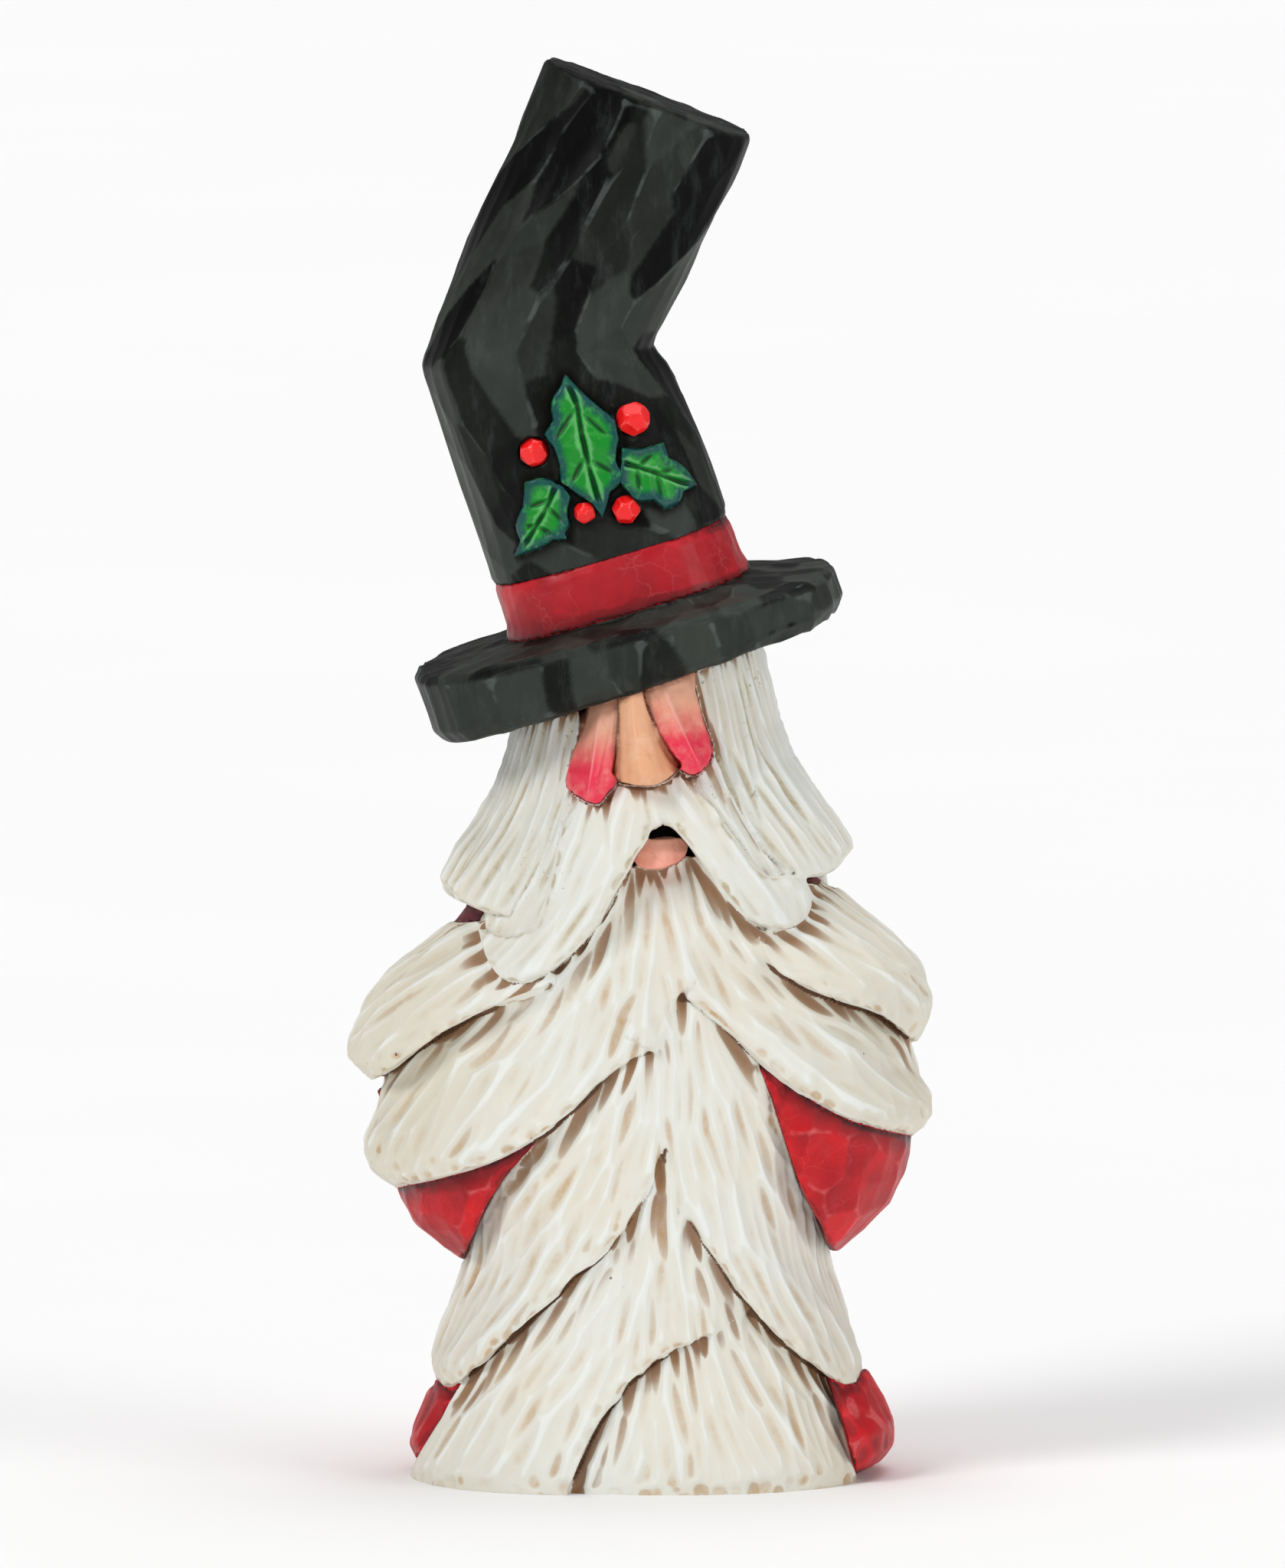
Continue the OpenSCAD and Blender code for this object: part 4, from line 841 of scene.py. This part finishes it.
def brim_cuts(sheet, rng, box, P, N):
    r = sheet.h * sheet.nu / 2
    u = -r
    while u < r:
        w = rng.uniform(3.2, 5.6)
        sheet.cut(u + w, rng.uniform(5, 8), rng.normal(0, 5), 24, 9, 1.9, 0.0,
                  (rng.normal(0, 0.07), rng.normal(0, 0.05)), 0.75 * rng.uniform(-1, 1), 2)
        u += 2 * w


make("hat_brim", [hat_mat], 0.5, unroll=unroll_brim, R=44, sheets=[([], brim_cuts)], seed=62, soften=2,
     rim=(8, 0.5, 0.3, 0.8), rim_round=0.35, ref=1.65, sharp=0.11)
make("hat_band", [band_mat], 0.5, unroll=unroll_brim, R=27,
     sheets=[([], facet_cuts(10, 9, 0.8, 9, 9, 0, 20, 0.03))], seed=63, soften=1, rim=(6, 0.2, 0.3, 0.9), rim_round=0.1,
     ref=0.7)


# ---------------------------------------------------------------- holly

VEINS = {
    "holly_leaf_top": [[(-17, 234), (-15, 229), (-14, 223), (-12.5, 216), (-10.2, 208)], (-15.6, 228, -19.6, 221.5),
                       (-13.6, 227, -8.4, 222.6), (-13.6, 217.5, -16, 212.5), (-11.6, 217, -7, 214.4)],
    "holly_leaf_left": [[(-19.6, 211.5), (-22, 206), (-26, 199.5)], (-21, 208.6, -25.4, 207), (-21.5, 207, -18, 204),
                        (-24, 203, -26.2, 202.8), (-23.6, 202.8, -20.6, 201.4)],
    "holly_leaf_right": [[(-5, 216.6), (1, 215), (9, 212.2)], (-1.5, 216, 1.5, 218.6), (3, 214.6, 6, 215.4),
                         (-2, 215, -1.4, 210.8), (2.6, 214.2, 3.6, 209.4)],
}


def leaf_cuts(name):
    def carve(sheet, rng, box, P, N):
        rib, veins = VEINS[name][0], VEINS[name][1:]
        for x0, v0, x1, v1 in veins:
            g = math.degrees(math.atan2(x1 - x0, v0 - v1))
            n = math.hypot(x1 - x0, v1 - v0)
            sheet.cut((x0 + x1) / 2, (v0 + v1) / 2, g, n * 0.9, 3.4, 0.55, tone_and_sheen=0.5)
        for x0, v0, x1, v1 in veins:
            g = math.degrees(math.atan2(x1 - x0, v0 - v1))
            n = math.hypot(x1 - x0, v1 - v0)
            sheet.cut((x0 + x1) / 2, (v0 + v1) / 2, g, n * 0.66, 1.0, 1.2, tone_and_sheen=-1)
        for (x0, v0), (x1, v1) in zip(rib, rib[1:]):
            g = math.degrees(math.atan2(x1 - x0, v0 - v1))
            sheet.cut((x0 + x1) / 2, (v0 + v1) / 2, g, math.hypot(x1 - x0, v1 - v0) * 0.72, 0.8, 1.3, tone_and_sheen=-1, p=4)

    return carve


for k, name in enumerate(VEINS):
    ob = make(name, [leaf_mat], 0.3, unroll=front_view, sheets=[([], leaf_cuts(name))], seed=71 + k,
              soften=3, rim=(3, 0.2, 0.12, 0.5), rim_round=0.15, top=False)[0]
    me = ob.data
    co = np.empty(len(me.vertices) * 3)
    me.vertices.foreach_get("co", co)
    co = co.reshape(-1, 3) * 1000
    e = np.empty(len(me.vertices), np.float32)
    me.attributes["edge"].data.foreach_get("value", e)
    fx, fv = front_view(co)
    rim_at = np.nonzero(e > 0.28)[0][::3]
    rimd = np.full(len(co), 9.0)
    for lo in range(0, len(co), 4000):
        s = slice(lo, lo + 4000)
        rimd[s] = np.sqrt(((fx[s, None] - fx[None, rim_at]) ** 2 + (fv[s, None] - fv[None, rim_at]) ** 2).min(1))
    me.attributes.new("rimd", "FLOAT", "POINT").data.foreach_set("value", rimd.astype(np.float32))


def berry_piece(name, seed):
    """A berry cut with a knife into small flats."""
    P, Q = voxel_skin([name], 0.28)
    sk = Skin(len(P), Q)
    c = (P.min(0) + P.max(0)) / 2
    d = P - c
    r = np.linalg.norm(d, axis=1)
    d /= r[:, None]
    rng = np.random.default_rng(seed)
    flats = rng.normal(0, 1, (13, 3))
    flats /= np.linalg.norm(flats, axis=1)[:, None]
    for _ in range(30):
        push = flats[:, None] - flats[None]
        flats += (push / (np.linalg.norm(push, axis=2)[:, :, None] ** 3 + 0.05)).sum(1) * 0.03
        flats /= np.linalg.norm(flats, axis=1)[:, None]
    r0 = r.mean()
    cosang = d @ flats.T
    cut = np.where(cosang > 0.5, 0.87 * r0 / np.maximum(cosang, 0.5), 9)
    new = np.minimum(r0, cut.min(1))
    h = new - r0
    P = c + d * new[:, None]
    near = others([name])
    # gap: distance to the neighbouring pieces, which the berry paint darkens by as painted shade
    gap = np.array([(near.find_nearest(p, 9)[3] or 9) for p in P.tolist()])
    me = bpy.data.meshes.new(name + "_carved")
    me.from_pydata((P * 0.001).tolist(), [], Q.tolist())
    me.polygons.foreach_set("use_smooth", np.ones(len(Q), bool))
    cav = (sk.blur(h, 10) - h) / 0.1
    for key, val in {"cav": cav, "gap": gap}.items():
        me.attributes.new(key, "FLOAT", "POINT").data.foreach_set("value", val.astype(np.float32))
    ob = bpy.data.objects.new(name + "_carved", me)
    bpy.context.scene.collection.objects.link(ob)
    me.materials.append(berry_mat)
    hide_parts(name)
    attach(ob, "root")


for k, name in enumerate(["holly_berry_top", "holly_berry_left", "holly_berry_middle", "holly_berry_low"]):
    berry_piece(name, 81 + k)

# ---------------------------------------------------------------- face


def ridge_cuts(lines, b, d, a=9):
    def carve(sheet, rng, box, P, N):
        for x, v, g in lines:
            sheet.cut(x, v, g, a, b, d, tilt=(0, 0), tone_and_sheen=rng.uniform(-1, 1), p=4)

    return carve


make("nose", [nose_mat], 0.4, unroll=front_view, seed=91, soften=2,
     sheets=[([], ridge_cuts([(-4.6, 158, -4), (-1.4, 160, 2), (3.4, 156, 18), (0.5, 168, 0)], 3.6, 0.5, 13))],
     rim=(5, 0.15, 0.2, 0.7), rim_round=0.1, top=False)
make("left_cheek", [lcheek_mat], 0.4, unroll=front_view, seed=92, soften=2,
     sheets=[([], ridge_cuts([(-14.2, 154, -7), (-9, 154, -9)], 2.7, 0.8, 16))], rim=(4, 0.2, 0.2, 0.7),
     rim_round=0.1, top=False)
make("right_cheek", [rcheek_mat], 0.4, unroll=front_view, seed=93, soften=2,
     sheets=[([], ridge_cuts([(4.6, 160, 26), (9.8, 161, 24)], 2.7, 0.8, 16))], rim=(4, 0.2, 0.2, 0.7),
     rim_round=0.1, top=False)
make("lower_lip", [lip_mat], 0.35, unroll=front_view, seed=94, soften=2,
     sheets=[([], ridge_cuts([(2.5, 131.5, 84), (2.5, 135.8, 88)], 2.2, 0.5, 8))], rim=(3, 0.15, 0.2, 0.7),
     rim_round=0.1, top=False)

for name, mat in (("head_block", core_mat), ("head_dowel", dowel_mat), ("hat_dowel", dowel_mat)):
    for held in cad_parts[name].material_slots:
        held.material = mat

# ---------------------------------------------------------------- stage, light and camera


def stage_material(name, colour):
    n = Nodes(name)
    f = n.noise(3, 3)
    return n.done(n.mix(n.ramp(f, 0.3, 0.7), colour, tuple(c * 0.985 for c in colour)), 0.9, n.bump(f, 0.0001, 0.1), 0.1)


bpy.ops.mesh.primitive_circle_add(vertices=96, radius=14, fill_type="NGON", location=(0, 0, 0))
floor = bpy.context.object
floor.name = "floor"
floor.data.materials.append(stage_material("floor_paper", (0.95, 0.95, 0.95)))

world = bpy.data.worlds.new("world")
bpy.context.scene.world = world
world.use_nodes = True
sky = world.node_tree.nodes["Background"]
sky.inputs[0].default_value = (1, 1, 1, 1)
ray = world.node_tree.nodes.new("ShaderNodeLightPath")
seen = world.node_tree.nodes.new("ShaderNodeMapRange")
seen.inputs[3].default_value, seen.inputs[4].default_value = 0.25, 1.0
world.node_tree.links.new(ray.outputs["Is Camera Ray"], seen.inputs[0])
world.node_tree.links.new(seen.outputs[0], sky.inputs[1])


def soft_sun(name, place, strength, spread):
    light = bpy.data.lights.new(name, "SUN")
    light.energy, light.angle = strength, math.radians(spread)
    ob = bpy.data.objects.new(name, light)
    bpy.context.scene.collection.objects.link(ob)
    ob.location = place
    ob.rotation_mode = "QUATERNION"
    ob.rotation_quaternion = (-Vector(place)).to_track_quat("-Z", "Y")


soft_sun("key", (-1.2, -1.2, 1.3), 1.25, 22)
soft_sun("fill", (1.5, -1.1, 0.7), 0.75, 35)
soft_sun("top", (0.1, 0.3, 1.9), 1.5, 50)

bpy.context.scene.view_settings.view_transform = "Standard"

cam = bpy.data.objects.new("camera", bpy.data.cameras.new("camera"))
bpy.context.scene.collection.objects.link(cam)
aim = Vector((-0.00099, 0, 0.14887))
dist = 6.0
cam.data.sensor_width = 36
cam.data.lens = 18 / (0.16835 / dist)
cam.data.clip_start, cam.data.clip_end = 0.1, 60
cam.location = aim + Vector((0, -C6, S6)) * dist
cam.rotation_mode = "QUATERNION"
cam.rotation_quaternion = (aim - cam.location).to_track_quat("-Z", "Y")
bpy.context.scene.camera = cam
